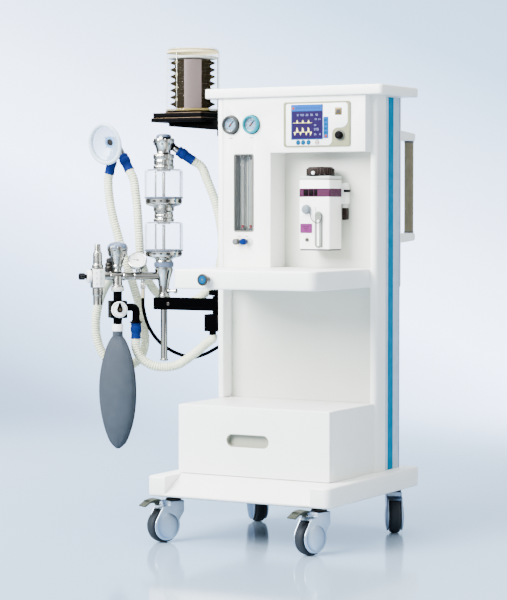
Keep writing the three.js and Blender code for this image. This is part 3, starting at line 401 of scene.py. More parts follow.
def ring_outline(reach, steps, x=0.0, y=0.0):
    """A closed outline round a centre; reach gives its radius at an angle."""
    outline = []
    for step in range(steps):
        angle = 2 * math.pi * step / steps
        radius = reach(angle)
        outline.append((x + radius * math.cos(angle), y + radius * math.sin(angle)))
    return outline


PLANES = {
    "x": lambda a, b, height: (height, a, b),
    "y": lambda a, b, height: (a, height, b),
    "z": lambda a, b, height: (a, b, height),
}


def prism(outline, low, high, plane="z", bevel=0.0, segments=3, sharp=30):
    """An outline drawn across an axis and extruded along it, with its sharp edges rounded."""
    mesh = bmesh.new()
    spot = PLANES[plane]
    ends = [[mesh.verts.new(spot(a, b, height)) for a, b in outline] for height in (low, high)]
    count = len(outline)
    mesh.faces.new(ends[0])
    mesh.faces.new(ends[1])
    for index in range(count):
        after = (index + 1) % count
        mesh.faces.new((ends[0][index], ends[0][after], ends[1][after], ends[1][index]))
    bmesh.ops.recalc_face_normals(mesh, faces=mesh.faces)
    return soften(mesh, bevel, segments, sharp)


def soften(mesh, bevel, segments=3, sharp=30):
    if bevel > 0:
        edges = [edge for edge in mesh.edges if edge.calc_face_angle(0) > math.radians(sharp)]
        bmesh.ops.bevel(mesh, geom=edges, offset=bevel, segments=segments, profile=0.5, affect="EDGES",
                        clamp_overlap=True)
    return mesh


def block(x0, x1, y0, y1, z0, z1, bevel=1.0, segments=3):
    outline = [(x0, y0), (x1, y0), (x1, y1), (x0, y1)]
    return prism(outline, z0, z1, "z", bevel, segments)


def turned(profile, sides=48):
    """A profile of (radius, height) points turned about Z; a radius of 0 closes an end."""
    mesh = bmesh.new()
    rings = []
    for radius, height in profile:
        if radius <= 0:
            rings.append([mesh.verts.new((0, 0, height))])
            continue
        ring = []
        for side in range(sides):
            angle = 2 * math.pi * side / sides
            ring.append(mesh.verts.new((radius * math.cos(angle), radius * math.sin(angle), height)))
        rings.append(ring)
    for low, high in zip(rings, rings[1:]):
        for side in range(sides):
            after = (side + 1) % sides
            corners = [low[side % len(low)], low[after % len(low)], high[after % len(high)],
                       high[side % len(high)]]
            unique = list(dict.fromkeys(corners))
            if len(unique) > 2:
                mesh.faces.new(unique)
    bmesh.ops.recalc_face_normals(mesh, faces=mesh.faces)
    return mesh


def softened(profile, radius=1.0, steps=3):
    """A turned profile with its corners rounded."""
    points = [Vector(point) for point in profile]
    result = [tuple(points[0])]
    for before, corner, after in zip(points, points[1:], points[2:]):
        back, ahead = before - corner, after - corner
        reach = min(radius, back.length * 0.45, ahead.length * 0.45)
        turn = back.angle(-ahead, 0.0) if back.length > 0 and ahead.length > 0 else 0
        if reach < 0.05 or turn < 0.3:
            result.append(tuple(corner))
            continue
        start = corner + back.normalized() * reach
        end = corner + ahead.normalized() * reach
        for step in range(steps + 1):
            part = step / steps
            bend = start * (1 - part) ** 2 + corner * 2 * part * (1 - part) + end * part ** 2
            result.append(tuple(bend))
    result.append(tuple(points[-1]))
    return result


def rod(radius, low, high, sides=32, edge=0.6):
    return turned(softened([(0, low), (radius, low), (radius, high), (0, high)], edge), sides)


def moved(mesh, x=0, y=0, z=0, turn=0):
    mesh.transform(Matrix.Translation((x, y, z)) @ Matrix.Rotation(math.radians(turn), 4, "Z"))
    return mesh


def aimed(mesh, direction, spot):
    """Turns a shape built along +Z so that it points in a direction from a place."""
    turn = Vector((0, 0, 1)).rotation_difference(Vector(direction).normalized())
    mesh.transform(Matrix.Translation(spot) @ turn.to_matrix().to_4x4())
    return mesh


def facing(mesh, x, y, z):
    """Turns a shape built along +Z so that it points out of the machine's front."""
    mesh.transform(Matrix.Translation((x, y, z)) @ Matrix.Rotation(math.pi / 2, 4, "X"))
    return mesh


def merged(*meshes):
    result = bmesh.new()
    for mesh in meshes:
        copy = bpy.data.meshes.new("part")
        mesh.to_mesh(copy)
        mesh.free()
        result.from_mesh(copy)
        bpy.data.meshes.remove(copy)
    return result


def carved(mesh, *tools):
    """The mesh with every tool cut out of it."""
    body = loose_object("body", mesh)
    for tool in tools:
        cutter = loose_object("cutter", tool)
        change = body.modifiers.new("cut", "BOOLEAN")
        change.operation = "DIFFERENCE"
        change.solver = "EXACT"
        change.object = cutter
    bpy.context.view_layer.update()
    evaluated = body.evaluated_get(bpy.context.evaluated_depsgraph_get())
    result = bmesh.new()
    result.from_mesh(evaluated.to_mesh())
    evaluated.to_mesh_clear()
    for change in list(body.modifiers):
        bpy.data.objects.remove(change.object)
    bpy.data.objects.remove(body)
    return result


def loose_object(name, mesh):
    data = bpy.data.meshes.new(name)
    mesh.to_mesh(data)
    mesh.free()
    made = bpy.data.objects.new(name, data)
    bpy.context.scene.collection.objects.link(made)
    return made


def piece(name, mesh, material, body, replaces=(), smooth=35, slot=None, transform=None):
    """Puts a finished mesh into the frame, riding on a body."""
    if transform is not None:
        mesh.transform(transform)
    mesh.transform(TO_FRAME)
    made = loose_object(name, mesh)
    made.data.shade_smooth()
    made.data.set_sharp_from_angle(angle=math.radians(smooth))
    made.data.materials.append(material)
    return settle(made, body, replaces, slot)


def settle(made, body, replaces=(), slot=None):
    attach(made, body)
    replaced = [replaces] if isinstance(replaces, str) else list(replaces)
    if replaced:
        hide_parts(*replaced)
    slot = slot or (slot_of(replaced[0]) if replaced else None)
    return made


def slot_of(cad_node):
    entries = frame["record"]["subparts"]
    return next(entry["material_slot"] for entry in entries if entry["node"] == cad_node)


def refined(cad_node, material, bevel=1.2, segments=3, name=None):
    """The CAD node's own shape with its sharp edges rounded."""
    source = frame["nodes"][cad_node]
    mesh = bmesh.new()
    mesh.from_mesh(source.data)
    bmesh.ops.remove_doubles(mesh, verts=mesh.verts, dist=1e-5)
    bmesh.ops.dissolve_limit(mesh, angle_limit=math.radians(1), verts=mesh.verts, edges=mesh.edges)
    mesh.transform(TO_FRAME.inverted())
    soften(mesh, bevel, segments)
    return piece(name or cad_node + "_skin", mesh, material, source["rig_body"], cad_node)


# ---------------------------------------------------------------- paths and hoses
def spline(points, step=4.0):
    """Points close together along a centripetal Catmull-Rom curve through the given ones."""
    places = [Vector(point) for point in points]
    places = [places[0] * 2 - places[1]] + places + [places[-1] * 2 - places[-2]]
    result = []
    for p0, p1, p2, p3 in zip(places, places[1:], places[2:], places[3:]):
        d0, d1, d2 = (math.sqrt((b - a).length) for a, b in ((p0, p1), (p1, p2), (p2, p3)))
        lead = ((p1 - p0) / d0 - (p2 - p0) / (d0 + d1) + (p2 - p1) / d1) * d1
        trail = ((p2 - p1) / d1 - (p3 - p1) / (d1 + d2) + (p3 - p2) / d2) * d1
        count = max(2, round((p2 - p1).length / step))
        for index in range(count):
            t = index / count
            cubic = (2 * t ** 3 - 3 * t ** 2 + 1) * p1 + (t ** 3 - 2 * t ** 2 + t) * lead
            result.append(cubic + (3 * t ** 2 - 2 * t ** 3) * p2 + (t ** 3 - t ** 2) * trail)
    result.append(places[-2])
    return result


def evenly(points, step):
    """The same path cut into equal steps."""
    lengths = [0.0]
    for before, after in zip(points, points[1:]):
        lengths.append(lengths[-1] + (after - before).length)
    count = max(4, round(lengths[-1] / step))
    result = []
    index = 0
    for number in range(count + 1):
        goal = lengths[-1] * number / count
        while index < len(points) - 2 and lengths[index + 1] < goal:
            index += 1
        span = lengths[index + 1] - lengths[index]
        result.append(points[index].lerp(points[index + 1], (goal - lengths[index]) / span))
    return result


def swept(path, radius_at, sides=20, closed_ends=True):
    """A tube along a path; radius_at gives the radius at a distance along it."""
    mesh = bmesh.new()
    normal = None
    rings = []
    travelled = 0.0
    for index, spot in enumerate(path):
        ahead = path[min(index + 1, len(path) - 1)]
        behind = path[max(index - 1, 0)]
        tangent = (ahead - behind).normalized()
        if index:
            travelled += (spot - path[index - 1]).length
        if normal is None:
            normal = tangent.orthogonal().normalized()
        normal = (normal - tangent * normal.dot(tangent)).normalized()
        across = tangent.cross(normal)
        radius = radius_at(travelled)
        ring = []
        for side in range(sides):
            angle = 2 * math.pi * side / sides
            offset = normal * math.cos(angle) + across * math.sin(angle)
            ring.append(mesh.verts.new(spot + offset * radius))
        rings.append(ring)
    for low, high in zip(rings, rings[1:]):
        for side in range(sides):
            after = (side + 1) % sides
            mesh.faces.new((low[side], low[after], high[after], high[side]))
    if closed_ends:
        mesh.faces.new(rings[0])
        mesh.faces.new(rings[-1])
    bmesh.ops.recalc_face_normals(mesh, faces=mesh.faces)
    return mesh


def length_of(path):
    return sum((after - before).length for before, after in zip(path, path[1:]))


# The absorber's places, from its pole and the manifold that runs forward and left of it.
POLE = Vector((-498, 120, 0))
MANIFOLD_Z = 763
HEADING = Vector((-math.sqrt(0.5), -math.sqrt(0.5), 0))
GAS_PORT, GAUGE, VALVE, RELIEF = 67, 80, 148, 211
SELECTOR_ELBOW = 58
CUFF_END = 568
Y_CENTRE = Vector((-677, 121.6, 1187.1))
Y_LEFT = Vector((-0.24, 0.02, -0.96)).normalized()
Y_RIGHT = Vector((0.48, 0, -0.88)).normalized()
Y_CUFF = (52, 107)
TOP_PORT = Vector((-468, 146, 1158))
TOP_DIRECTION = Vector((0.66, 0.5, -0.56)).normalized()
SIDE_PORT = Vector((-650, 45, 809))
SIDE_DIRECTION = Vector((0, 0.06, -1)).normalized()
VENTILATOR_PORT = Vector((-318, 114, 583))
GAS_OUTLET = Vector((-286, 142, 585))
HOSE_RADIUS, GAS_RADIUS = 14, 5.5


def on_manifold(distance, z=MANIFOLD_Z):
    return POLE + HEADING * distance + Vector((0, 0, z))


def hose_routes():
    """Each hose leaves a fitting, follows its route and ends straight in the next one."""
    elbow = on_manifold(VALVE, CUFF_END - GAP) - HEADING * SELECTOR_ELBOW
    gas = on_manifold(GAS_PORT, 694)
    down = Vector((0, 0, -1))
    y_end = Y_CUFF[1] + GAP
    return {
        "expiratory": [
            Y_CENTRE + Y_LEFT * y_end, Y_CENTRE + Y_LEFT * (y_end + 14),
            (-703, 120, 1030), (-690, 115, 970), (-671, 118, 899), (-642, 120, 811), (-614, 122, 735),
            (-586, 124, 647),
            (-568, 120, 566), (-572, 114, 522), (-593, 106, 490), (-629, 98, 474), (-674, 92, 485),
            (-708, 86, 519), (-724, 80, 570), (-722, 74, 624), (-705, 66, 679), (-677, 56, 725),
            SIDE_PORT + SIDE_DIRECTION * 55, SIDE_PORT + SIDE_DIRECTION * (30 + GAP)],
        "inspiratory": [
            Y_CENTRE + Y_RIGHT * y_end, Y_CENTRE + Y_RIGHT * (y_end + 30),
            (-598, 116, 1010), (-590, 114, 950), (-587, 116, 890), (-586, 124, 818), (-580, 146, 760),
            (-562, 166, 716), (-531, 178, 688), (-482, 184, 673), (-428, 186, 683), (-382, 188, 715),
            (-346, 189, 766), (-328, 189, 844), (-333, 188, 922), (-350, 186, 993), (-376, 184, 1056),
            TOP_PORT + TOP_DIRECTION * 94, TOP_PORT + TOP_DIRECTION * (64 + GAP)],
        "ventilator": [
            elbow, elbow + down * 30, (-548, 62, 508), (-519, 76, 486), (-486, 92, 479),
            (-443, 108, 486), (-401, 112, 511), (-365, 114, 537), (-336, 114, 560),
            VENTILATOR_PORT + down * (10 + GAP), VENTILATOR_PORT + down * GAP],
        "gas": [
            gas, gas + down * 22, (-543, 90, 620), (-534, 116, 577), (-518, 146, 544), (-483, 168, 519),
            (-434, 184, 506), (-389, 192, 518), (-348, 190, 538), (-313, 171, 550), (-292, 149, 560),
            GAS_OUTLET + down * (13 + GAP), GAS_OUTLET + down * GAP],
    }


def corrugated(length, pitch=7.8, depth=2.4, plain=10):
    """Radius of a ribbed hose: plain at both ends, ribbed between them."""
    def radius_at(distance):
        edge = min(distance, length - distance)
        fade = max(0.0, min(1.0, (edge - plain) / 4))
        wave = 0.5 + 0.5 * math.cos(2 * math.pi * distance / pitch)
        return HOSE_RADIUS + 0.6 * fade - depth * fade * (1 - wave)
    return radius_at


def add_hoses():
    made = {}
    for name, points in hose_routes().items():
        path = evenly(spline(points), 1.23 if name != "gas" else 3)
        length = length_of(path)
        if name == "gas":
            mesh = swept(path, lambda distance: GAS_RADIUS, 18)
        else:
            mesh = swept(path, corrugated(length), 20)
        material = GAS_RUBBER if name == "gas" else HOSE
        hose = piece(f"{name}_hose", mesh, material, "absorber", f"hose_{name}", 80)
        made[name] = (hose, [TO_FRAME @ spot for spot in path[::8] + [path[-1]]], length * MM)
    return made


# ---------------------------------------------------------------- base and casters
def add_base():
    half = 300
    bottom, top = limits("base_platform")[0].z, limits("base_platform")[1].z
    slab = prism(rounded(-half, -half, half, half, 20, 8), bottom, top, "z", 6.5, 4)
    block_width = 62
    apron = [(-207, top), (-207, top + 9), (-half - 9, top + 9), (-half - 9, bottom + 7),
             (-half, bottom + 7)]
    cutter = prism(apron, block_width - half, half - block_width, "x")
    piece("base_slab", carved(slab, cutter), WHITE, "cabinet", "base_platform", 40)
    rib = prism(rounded(-half + 20, -half + 20, half - 20, half - 20, 22), bottom - 3, bottom + 1,
                "z", 1)
    piece("base_underside", rib, DARK_SHELL, "cabinet", slot="white_paint")


CASTER_TURNS = {"front_left": 245, "front_right": 252, "rear_left": 315, "rear_right": 300}
WHEEL, TREAD, TRAIL = 50, 32, 35


def caster_place(corner):
    x = -240 if corner.endswith("left") else 240
    y = -248 if corner.startswith("front") else 240
    turn = Matrix.Rotation(math.radians(CASTER_TURNS[corner]), 4, "Z")
    return Matrix.Translation((x, y, 0)) @ turn


def fork_cheek(side):
    disc = WHEEL - 7
    outline = [(-23, 121), (-23, 88)]
    outline += arc(TRAIL, WHEEL, disc, 162, 396, 30)
    outline += [(52, 105), (27, 109), (27, 121)]
    inner, outer = side * (TREAD / 2 + 2.2), side * (TREAD / 2 + 8)
    cheek = prism(outline, min(inner, outer), max(inner, outer), "y", 0)
    crown = aimed(turned([(38, 0), (36, 1.4), (30, 3), (20, 4.4), (10, 5), (0, 5.2)], 48),
                  (0, side, 0), (TRAIL, outer - side * 0.6, WHEEL))
    return merged(soften(cheek, 2.6, 4), crown)


def add_caster(corner):
    spot = caster_place(corner)
    fork, wheel = f"caster_{corner}", f"wheel_{corner}"
    roof_outline = [(-23, 90), (-23, 121), (27, 121), (27, 109), (52, 104)]
    roof_outline += arc(TRAIL, WHEEL, WHEEL + 4.5, 66, 140, 12)
    roof = prism(roof_outline, -TREAD / 2 - 3, TREAD / 2 + 3, "y", 0.8, 2)
    shell = merged(fork_cheek(-1), fork_cheek(1), roof)
    piece(f"{fork}_shell", shell, SILVER, fork, f"caster_fork_{corner}", 40, transform=spot)
    race = turned(softened([(0, 119), (22.5, 119), (22.5, 126), (20, 127.5), (15, 128), (12, 130),
                            (12, 134.7), (0, 134.7)], 0.8))
    piece(f"{fork}_race", race, STEEL_DARK, fork, slot="silver_metal", transform=spot)
    collar = turned(softened([(0, 121.5), (23, 121.5), (23.4, 124), (0, 124)], 0.6))
    piece(f"{fork}_seal", collar, DARK, fork, slot="caster_tyre", transform=spot)
    half = TREAD / 2
    tyre = [(37, -half + 1), (39, -half), (45, -half + 0.4), (48.6, -half + 3.5), (49.8, -half + 9),
            (50, 0), (49.8, half - 9), (48.6, half - 3.5), (45, half - 0.4), (39, half),
            (37, half - 1), (36, half - 3), (36, -half + 3), (37, -half + 1)]
    piece(f"{wheel}_tyre", aimed(turned(tyre, 64), (0, 1, 0), (TRAIL, 0, WHEEL)), TYRE, wheel,
          f"caster_wheel_{corner}", 50, transform=spot)
    hub = [(6.4, -half + 2), (14, -half + 2), (16, -half + 6), (31, -half + 6), (33, -half + 3),
           (37, -half + 2.5), (37, half - 2.5), (33, half - 3), (31, half - 6), (16, half - 6),
           (14, half - 2), (6.4, half - 2), (6.4, -half + 2)]
    piece(f"{wheel}_hub", aimed(turned(hub, 48), (0, 1, 0), (TRAIL, 0, WHEEL)), GREY, wheel,
          slot="silver_metal", transform=spot)
    if corner.startswith("front"):
        add_pedal(corner, spot)


def add_pedal(corner, spot):
    body = f"pedal_{corner}"
    top = [(52, 127), (60, 130), (68, 130), (80, 128.6), (92, 124), (102, 117), (110, 112)]
    under = [(108, 108.4), (100, 113), (90, 119.4), (79, 123.6), (68, 124.6), (58, 123), (52, 121.6)]
    plate = prism(top + under, -17, 17, "y", 1.2, 3)
    lug = block(52, 60, -8.5, 8.5, 109, 124, 1.5)
    ribs = [block(66, 96, y - 1, y + 1, 118, 127, 0.4) for y in (-9, 0, 9)]
    piece(f"{body}_plate", merged(plate, lug, *ribs), PEDAL, body, f"brake_pedal_{corner}", 40,
          transform=spot)
    pin = aimed(rod(2.6, -16.5, 16.5, 20), (0, 1, 0), (56, 0, 114))
    piece(f"{body}_pin", pin, CHROME, body, slot="silver_metal", transform=spot)


# ---------------------------------------------------------------- cabinet
def add_cabinet():
    for name, bevel in (("left_side_panel", 2.5), ("rear_cover", 1.5), ("drawer_housing", 2.5)):
        refined(name, WHITE, bevel)
    # The alcove's inner walls take the darkened white: painted shade.
    refined("inner_panel", SHADE_WHITE, 1.2)
    refined("head_housing", WHITE, 1.8)
    add_right_panel()
    add_side_bands()
    add_shelf()
    add_worktop()
    add_drawer()
    add_handle()
    add_rear_details()


def add_right_panel():
    low, high = limits("right_side_panel")
    corner = 14
    outline = [(low.x, low.y)] + arc(high.x - corner, low.y + corner, corner, -90, 0, 8)
    outline += [(high.x, high.y), (low.x, high.y)]
    piece("right_panel_skin", prism(outline, low.z, high.z, "z"), WHITE, "cabinet",
          "right_side_panel", 40)


BAND = {"front": 141, "stripe": (156, 190), "back": 236, "bottom": 195}


def add_side_bands():
    """Painted bands down both side panels: pale grey with a teal stripe."""
    top = limits("right_side_panel")[1].z - 2
    for side, name in ((1, "right"), (-1, "left")):
        face = side * 259
        skin = (face - side * 0.4, face + side * 0.9)
        low, high = min(skin), max(skin)
        band = prism([(BAND["front"], BAND["bottom"]), (BAND["back"], BAND["bottom"]),
                      (BAND["back"], top), (BAND["front"], top)], low, high, "x", 0.3, 2)
        piece(f"{name}_band", band, BAND_GREY, "cabinet", slot="white_paint")
        start, end = BAND["stripe"]
        bottom = BAND["bottom"] + 0.5
        across = (low, high + 0.6) if side > 0 else (low - 1.2, high - 0.6)
        stripe = prism([(start, bottom), (end, bottom), (end, top - 1), (start, top - 1)], *across, "x")
        piece(f"{name}_stripe", stripe, TEAL, "cabinet", slot="gauge_blue")
        edge = prism([(BAND["back"] - 3, BAND["bottom"]), (BAND["back"], BAND["bottom"]),
                      (BAND["back"], top), (BAND["back"] - 3, top)], low + side * 0.5,
                     high + side * 0.5, "x")
        piece(f"{name}_band_edge", edge, DEEP_BLUE, "cabinet", slot="gauge_blue")


def add_shelf():
    low, high = limits("top_shelf")
    shelf = prism(rounded(low.x, low.y, high.x, high.y, 12, 8), low.z, high.z, "z", 4.5, 4)
    piece("top_shelf_skin", shelf, WHITE, "cabinet", "top_shelf", 40)


WORKTOP = {"half": 236, "front": -265, "bottom": 740, "top": 796, "back": 130}
FLUSH = {"x": -117, "z": 768}


def add_worktop():
    half, front, bottom, top, back = (WORKTOP[key] for key in ("half", "front", "bottom", "top",
                                                               "back"))
    outline = [(-half, back)] + arc(-half + 26, front + 26, 26, 180, 270, 8)
    outline += arc(half - 26, front + 26, 26, 270, 360, 8) + [(half, back)]
    slab = prism(outline, bottom, top, "z", 5, 4)
    ears = block(-238.6, 238.6, 80.2, back, bottom + 0.2, top - 0.2, 1)
    piece("worktop_slab", merged(slab, ears), WHITE, "cabinet", "worktop", 40)
    collar = [(13, -1), (13, 11), (16.8, 13), (17.2, 15), (17.2, 22), (15.4, 24), (12.6, 24),
              (12.2, 22),
              (12.2, -1)]
    piece("flush_collar", facing(turned(collar), FLUSH["x"], front, FLUSH["z"]), CHROME, "cabinet",
          slot="chrome_metal")
    ring = turned(softened([(12.4, 22), (17.4, 22), (17.6, 23.4), (16.4, 24.6), (12.4, 24.6)], 0.4), 56)
    piece("flush_ring", facing(ring, FLUSH["x"], front, FLUSH["z"]), STEEL_DARK, "cabinet",
          slot="chrome_metal")
    button = softened([(0, -5), (7.5, -5), (7.5, 4), (11.5, 6), (11.5, 24.4), (9, 25), (8.6, 24.2),
                       (0, 24.6)], 0.8)
    piece("flush_cap", facing(turned(button), FLUSH["x"], front, FLUSH["z"]), CYAN, "flush_button",
          "flush_button")
    mark = merged(block(-4, 4, -0.7, 0.7, 24.4, 24.9, 0.1), block(-0.7, 0.7, -4, 4, 24.4, 24.9, 0.1))
    piece("flush_mark", facing(mark, FLUSH["x"], front, FLUSH["z"]), FAINT_INK, "flush_button",
          slot="gauge_grey")


def add_drawer():
    half, front, bottom, top = 250, -203, 195.9, 397.7
    plate = prism(rounded(-half, bottom, half, top, 5), front, front + 18, "y", 2.6, 4)
    x, z, width, height = -17, 300, 141, 38
    outline = rounded(x - width / 2, z - height / 2, x + width / 2, z + height / 2, height / 2 - 0.1,
                      12)
    slot_cut = prism(outline, front - 6, front + 30, "y")
    piece("drawer_front", carved(plate, slot_cut), WHITE, "drawer", "drawer", 40)
    # The slot's lining and back take the darkened paint: painted shade inside the finger slot.
    rim = carved(prism(rounded(x - width / 2 - 0.3, z - height / 2 - 0.3, x + width / 2 + 0.3,
                               z + height / 2 + 0.3, height / 2 + 0.2, 12), front + 1, front + 17.5,
                       "y"),
                 prism(rounded(x - width / 2 + 2, z - height / 2 + 2, x + width / 2 - 2,
                               z + height / 2 - 2, height / 2 - 2.1, 12), front - 6, front + 30, "y"))
    piece("finger_slot_lining", rim, SLOT_SHADE, "drawer", slot="white_paint")
    back_face = prism(rounded(x - width / 2 - 2, z - height / 2 - 2, x + width / 2 + 2,
                              z + height / 2 + 2,
                              height / 2 + 1.8, 12), front + 18.4, front + 20.5, "y")
    piece("finger_slot_back", back_face, SLOT_SHADE, "drawer", slot="white_paint")
    low, high = -226.7, 226.7
    # The tray inside the drawer takes the darkened white: painted shade.
    tray = carved(block(low, high, front + 17, 192, bottom + 9.4, 360, 1),
                  block(low + 3, high - 3, front + 22, 189, bottom + 12.4, 400, 0),
                  prism(outline, front - 1, front + 24, "y"))
    piece("drawer_tray", tray, SHADE_WHITE, "drawer", slot="white_paint")


HANDLE = {"x": 246, "y": 330, "low": 884, "high": 1192, "bracket": 29}


def add_handle():
    x, y, low, high, bracket = (HANDLE[key] for key in ("x", "y", "low", "high", "bracket"))
    start = 246.3
    for name, height, up in (("upper", high, 1), ("lower", low, -1)):
        outline = [(x - 20, start), (x + 13, start), (x + 19, y)] + arc(x, y, 19, 0, 180, 16)[1:]
        shape = prism(outline, height - bracket / 2, height + bracket / 2, "z", 5, 4)
        for vertex in shape.verts:
            if (vertex.co.z - height) * up > 0:
                reach = max(0, (vertex.co.y - start) / (y + 19 - start))
                vertex.co.z -= up * 9 * reach ** 2.2
        piece(f"handle_{name}_arm", shape, WHITE, "cabinet", f"handle_bracket_{name}", 45)
        pad = prism(rounded(x - 22, height - 18, x + 12, height + 18, 6), start - 0.6, start + 2.2,
                    "y", 1)
        piece(f"handle_{name}_pad", pad, GREY, "cabinet", slot="gauge_grey")
    ribs = 36
    outline = ring_outline(lambda angle: 14 - 0.7 * (1 - abs(math.sin(angle * ribs / 2))), ribs * 4,
                           x, y)
    bar = prism(outline, low + bracket / 2 + GAP, high - bracket / 2 - GAP, "z")
    piece("handle_grip", bar, BAR_METAL, "cabinet", "handle_bar", 60)
    for name, height in (("upper", high - bracket / 2 - 3), ("lower", low + bracket / 2 + 3)):
        ring = moved(turned(softened([(13, -2.4), (15, -2.4), (15, 2.4), (13, 2.4)], 0.5)), x, y,
                     height)
        piece(f"handle_{name}_ring", ring, GREY, "cabinet", slot="gauge_grey")


def add_rear_details():
    """Seams, screws, vent slots and sockets on the back."""
    back = 246.6
    for name, z0, z1 in (("upper", 760, 1290), ("lower", 215, 715)):
        face = back if name == "upper" else 238.2
        door = prism(rounded(-228, z0, 228, z1, 8), face - 0.4, face + 1.2, "y", 0.6, 2)
        piece(f"rear_{name}_door", door, WHITE, "cabinet", slot="white_paint")
        heads = []
        for x in (-214, 214):
            for z in (z0 + 16, z1 - 16, (z0 + z1) / 2):
                screw = turned(softened([(0, 0), (4.4, 0), (4, 1.6), (0, 2.2)], 0.4), 20)
                heads.append(aimed(screw, (0, 1, 0), (x, face + 1.1, z)))
        piece(f"rear_{name}_screws", merged(*heads), CHROME, "cabinet", slot="chrome_metal")
    slots = [prism(rounded(-70, z - 2, 70, z + 2, 1.9, 4), 239, 239.6, "y") for z in range(560, 680,
                                                                                           12)]
    piece("rear_vent_slots", merged(*slots), DARK_SHELL, "cabinet", slot="dark_plastic")
    inlet = prism(rounded(120, 262, 176, 300, 4), 239, 241.5, "y", 0.8, 2)
    piece("rear_power_inlet", inlet, DARK, "cabinet", slot="dark_plastic")


# ---------------------------------------------------------------- head instruments
HEAD = 44
GAUGES = {"left": (-212, RING_GREY), "right": (-141, TURQUOISE)}
GAUGE_Z = 1225


def add_gauge(side):
    x, bezel = GAUGES[side]
    ring = [(20.4, 6.6), (21, 11.4), (23.4, 13), (26.4, 12), (28, 8.6), (28, 3), (26.5, 0.4), (20, 0.4),
            (20, 6.4), (20.4, 6.6)]
    piece(f"gauge_{side}_bezel", facing(turned(ring, 64), x, HEAD, GAUGE_Z), bezel, "cabinet",
          f"pressure_gauge_{side}", 30)
    seam = [(26, -0.2), (29.4, -0.2), (29.4, 0.6), (28.6, 1), (26, 1), (26, -0.2)]
    piece(f"gauge_{side}_seam", facing(turned(seam, 64), x, HEAD, GAUGE_Z), INK, "cabinet",
          slot="dark_plastic")
    dish = [(0, 3.2), (20.5, 3.2), (20.9, 8), (21.4, 8.2), (21.4, 2), (0, 2)]
    piece(f"gauge_{side}_dish", facing(turned(dish, 64), x, HEAD, GAUGE_Z), SATIN, "cabinet",
          slot="gauge_grey")
    face = turned([(0, 3.4), (18.6, 3.4), (18.6, 3.9), (0, 3.9)], 64)
    piece(f"gauge_{side}_face", facing(face, x, HEAD, GAUGE_Z), DIAL_FACE, "cabinet",
          slot="offwhite_plastic")
    marks = []
    for index in range(25):
        angle = math.radians(-45 + 270 * index / 24)
        long = index % 4 == 0
        mark = block(12 if long else 14.4, 17.6, -0.7 if long else -0.35, 0.7 if long else 0.35, 3.9,
                     4.15, 0)
        marks.append(moved(mark, turn=math.degrees(angle)))
    piece(f"gauge_{side}_marks", facing(merged(*marks), x, HEAD, GAUGE_Z), INK, "cabinet",
          slot="dark_plastic")
    band = prism(arc(0, 0, 12.4, 60, 150, 20) + arc(0, 0, 10.6, 150, 60, 20), 3.9, 4.1, "z")
    piece(f"gauge_{side}_zone", facing(band, x, HEAD, GAUGE_Z), CYAN, "cabinet", slot="gauge_blue")
    needle = prism([(-8, -2.2), (16, -1.2), (16, 1.2), (-8, 2.2)], 5, 5.6, "z")
    piece(f"gauge_{side}_needle", facing(moved(needle, turn=48), x, HEAD, GAUGE_Z), INK, "cabinet",
          slot="dark_plastic")
    # The hub dot takes the glowing lamp material: painted light, as the dot is no lamp.
    hub = turned(softened([(0, 4), (3, 4), (2.8, 6.6), (0, 7)], 0.5), 24)
    piece(f"gauge_{side}_hub", facing(hub, x, HEAD, GAUGE_Z), ORANGE, "cabinet", slot="gauge_blue")
    lens = turned([(0, 9.4), (12, 9.2), (21, 8.4), (21, 7.9), (0, 8.9)], 48)
    piece(f"gauge_{side}_lens", facing(lens, x, HEAD, GAUGE_Z), clear_lens(), "cabinet",
          slot="clear_jar")
    label = block(-6, 6, -1.2, 1.2, 0, 0.35, 0)
    piece(f"gauge_{side}_legend", facing(label, x, HEAD, GAUGE_Z - 40), FAINT_INK, "cabinet",
          slot="gauge_grey")


def clear_lens():
    found = bpy.data.materials.get("lens_clear")
    return found or clear("lens_clear", (0.25, 0.28, 0.30), 0.04, 0.02, specular=0.08)


FLOWMETER = {"x": -168, "width": 68, "bottom": 903, "top": 1137}


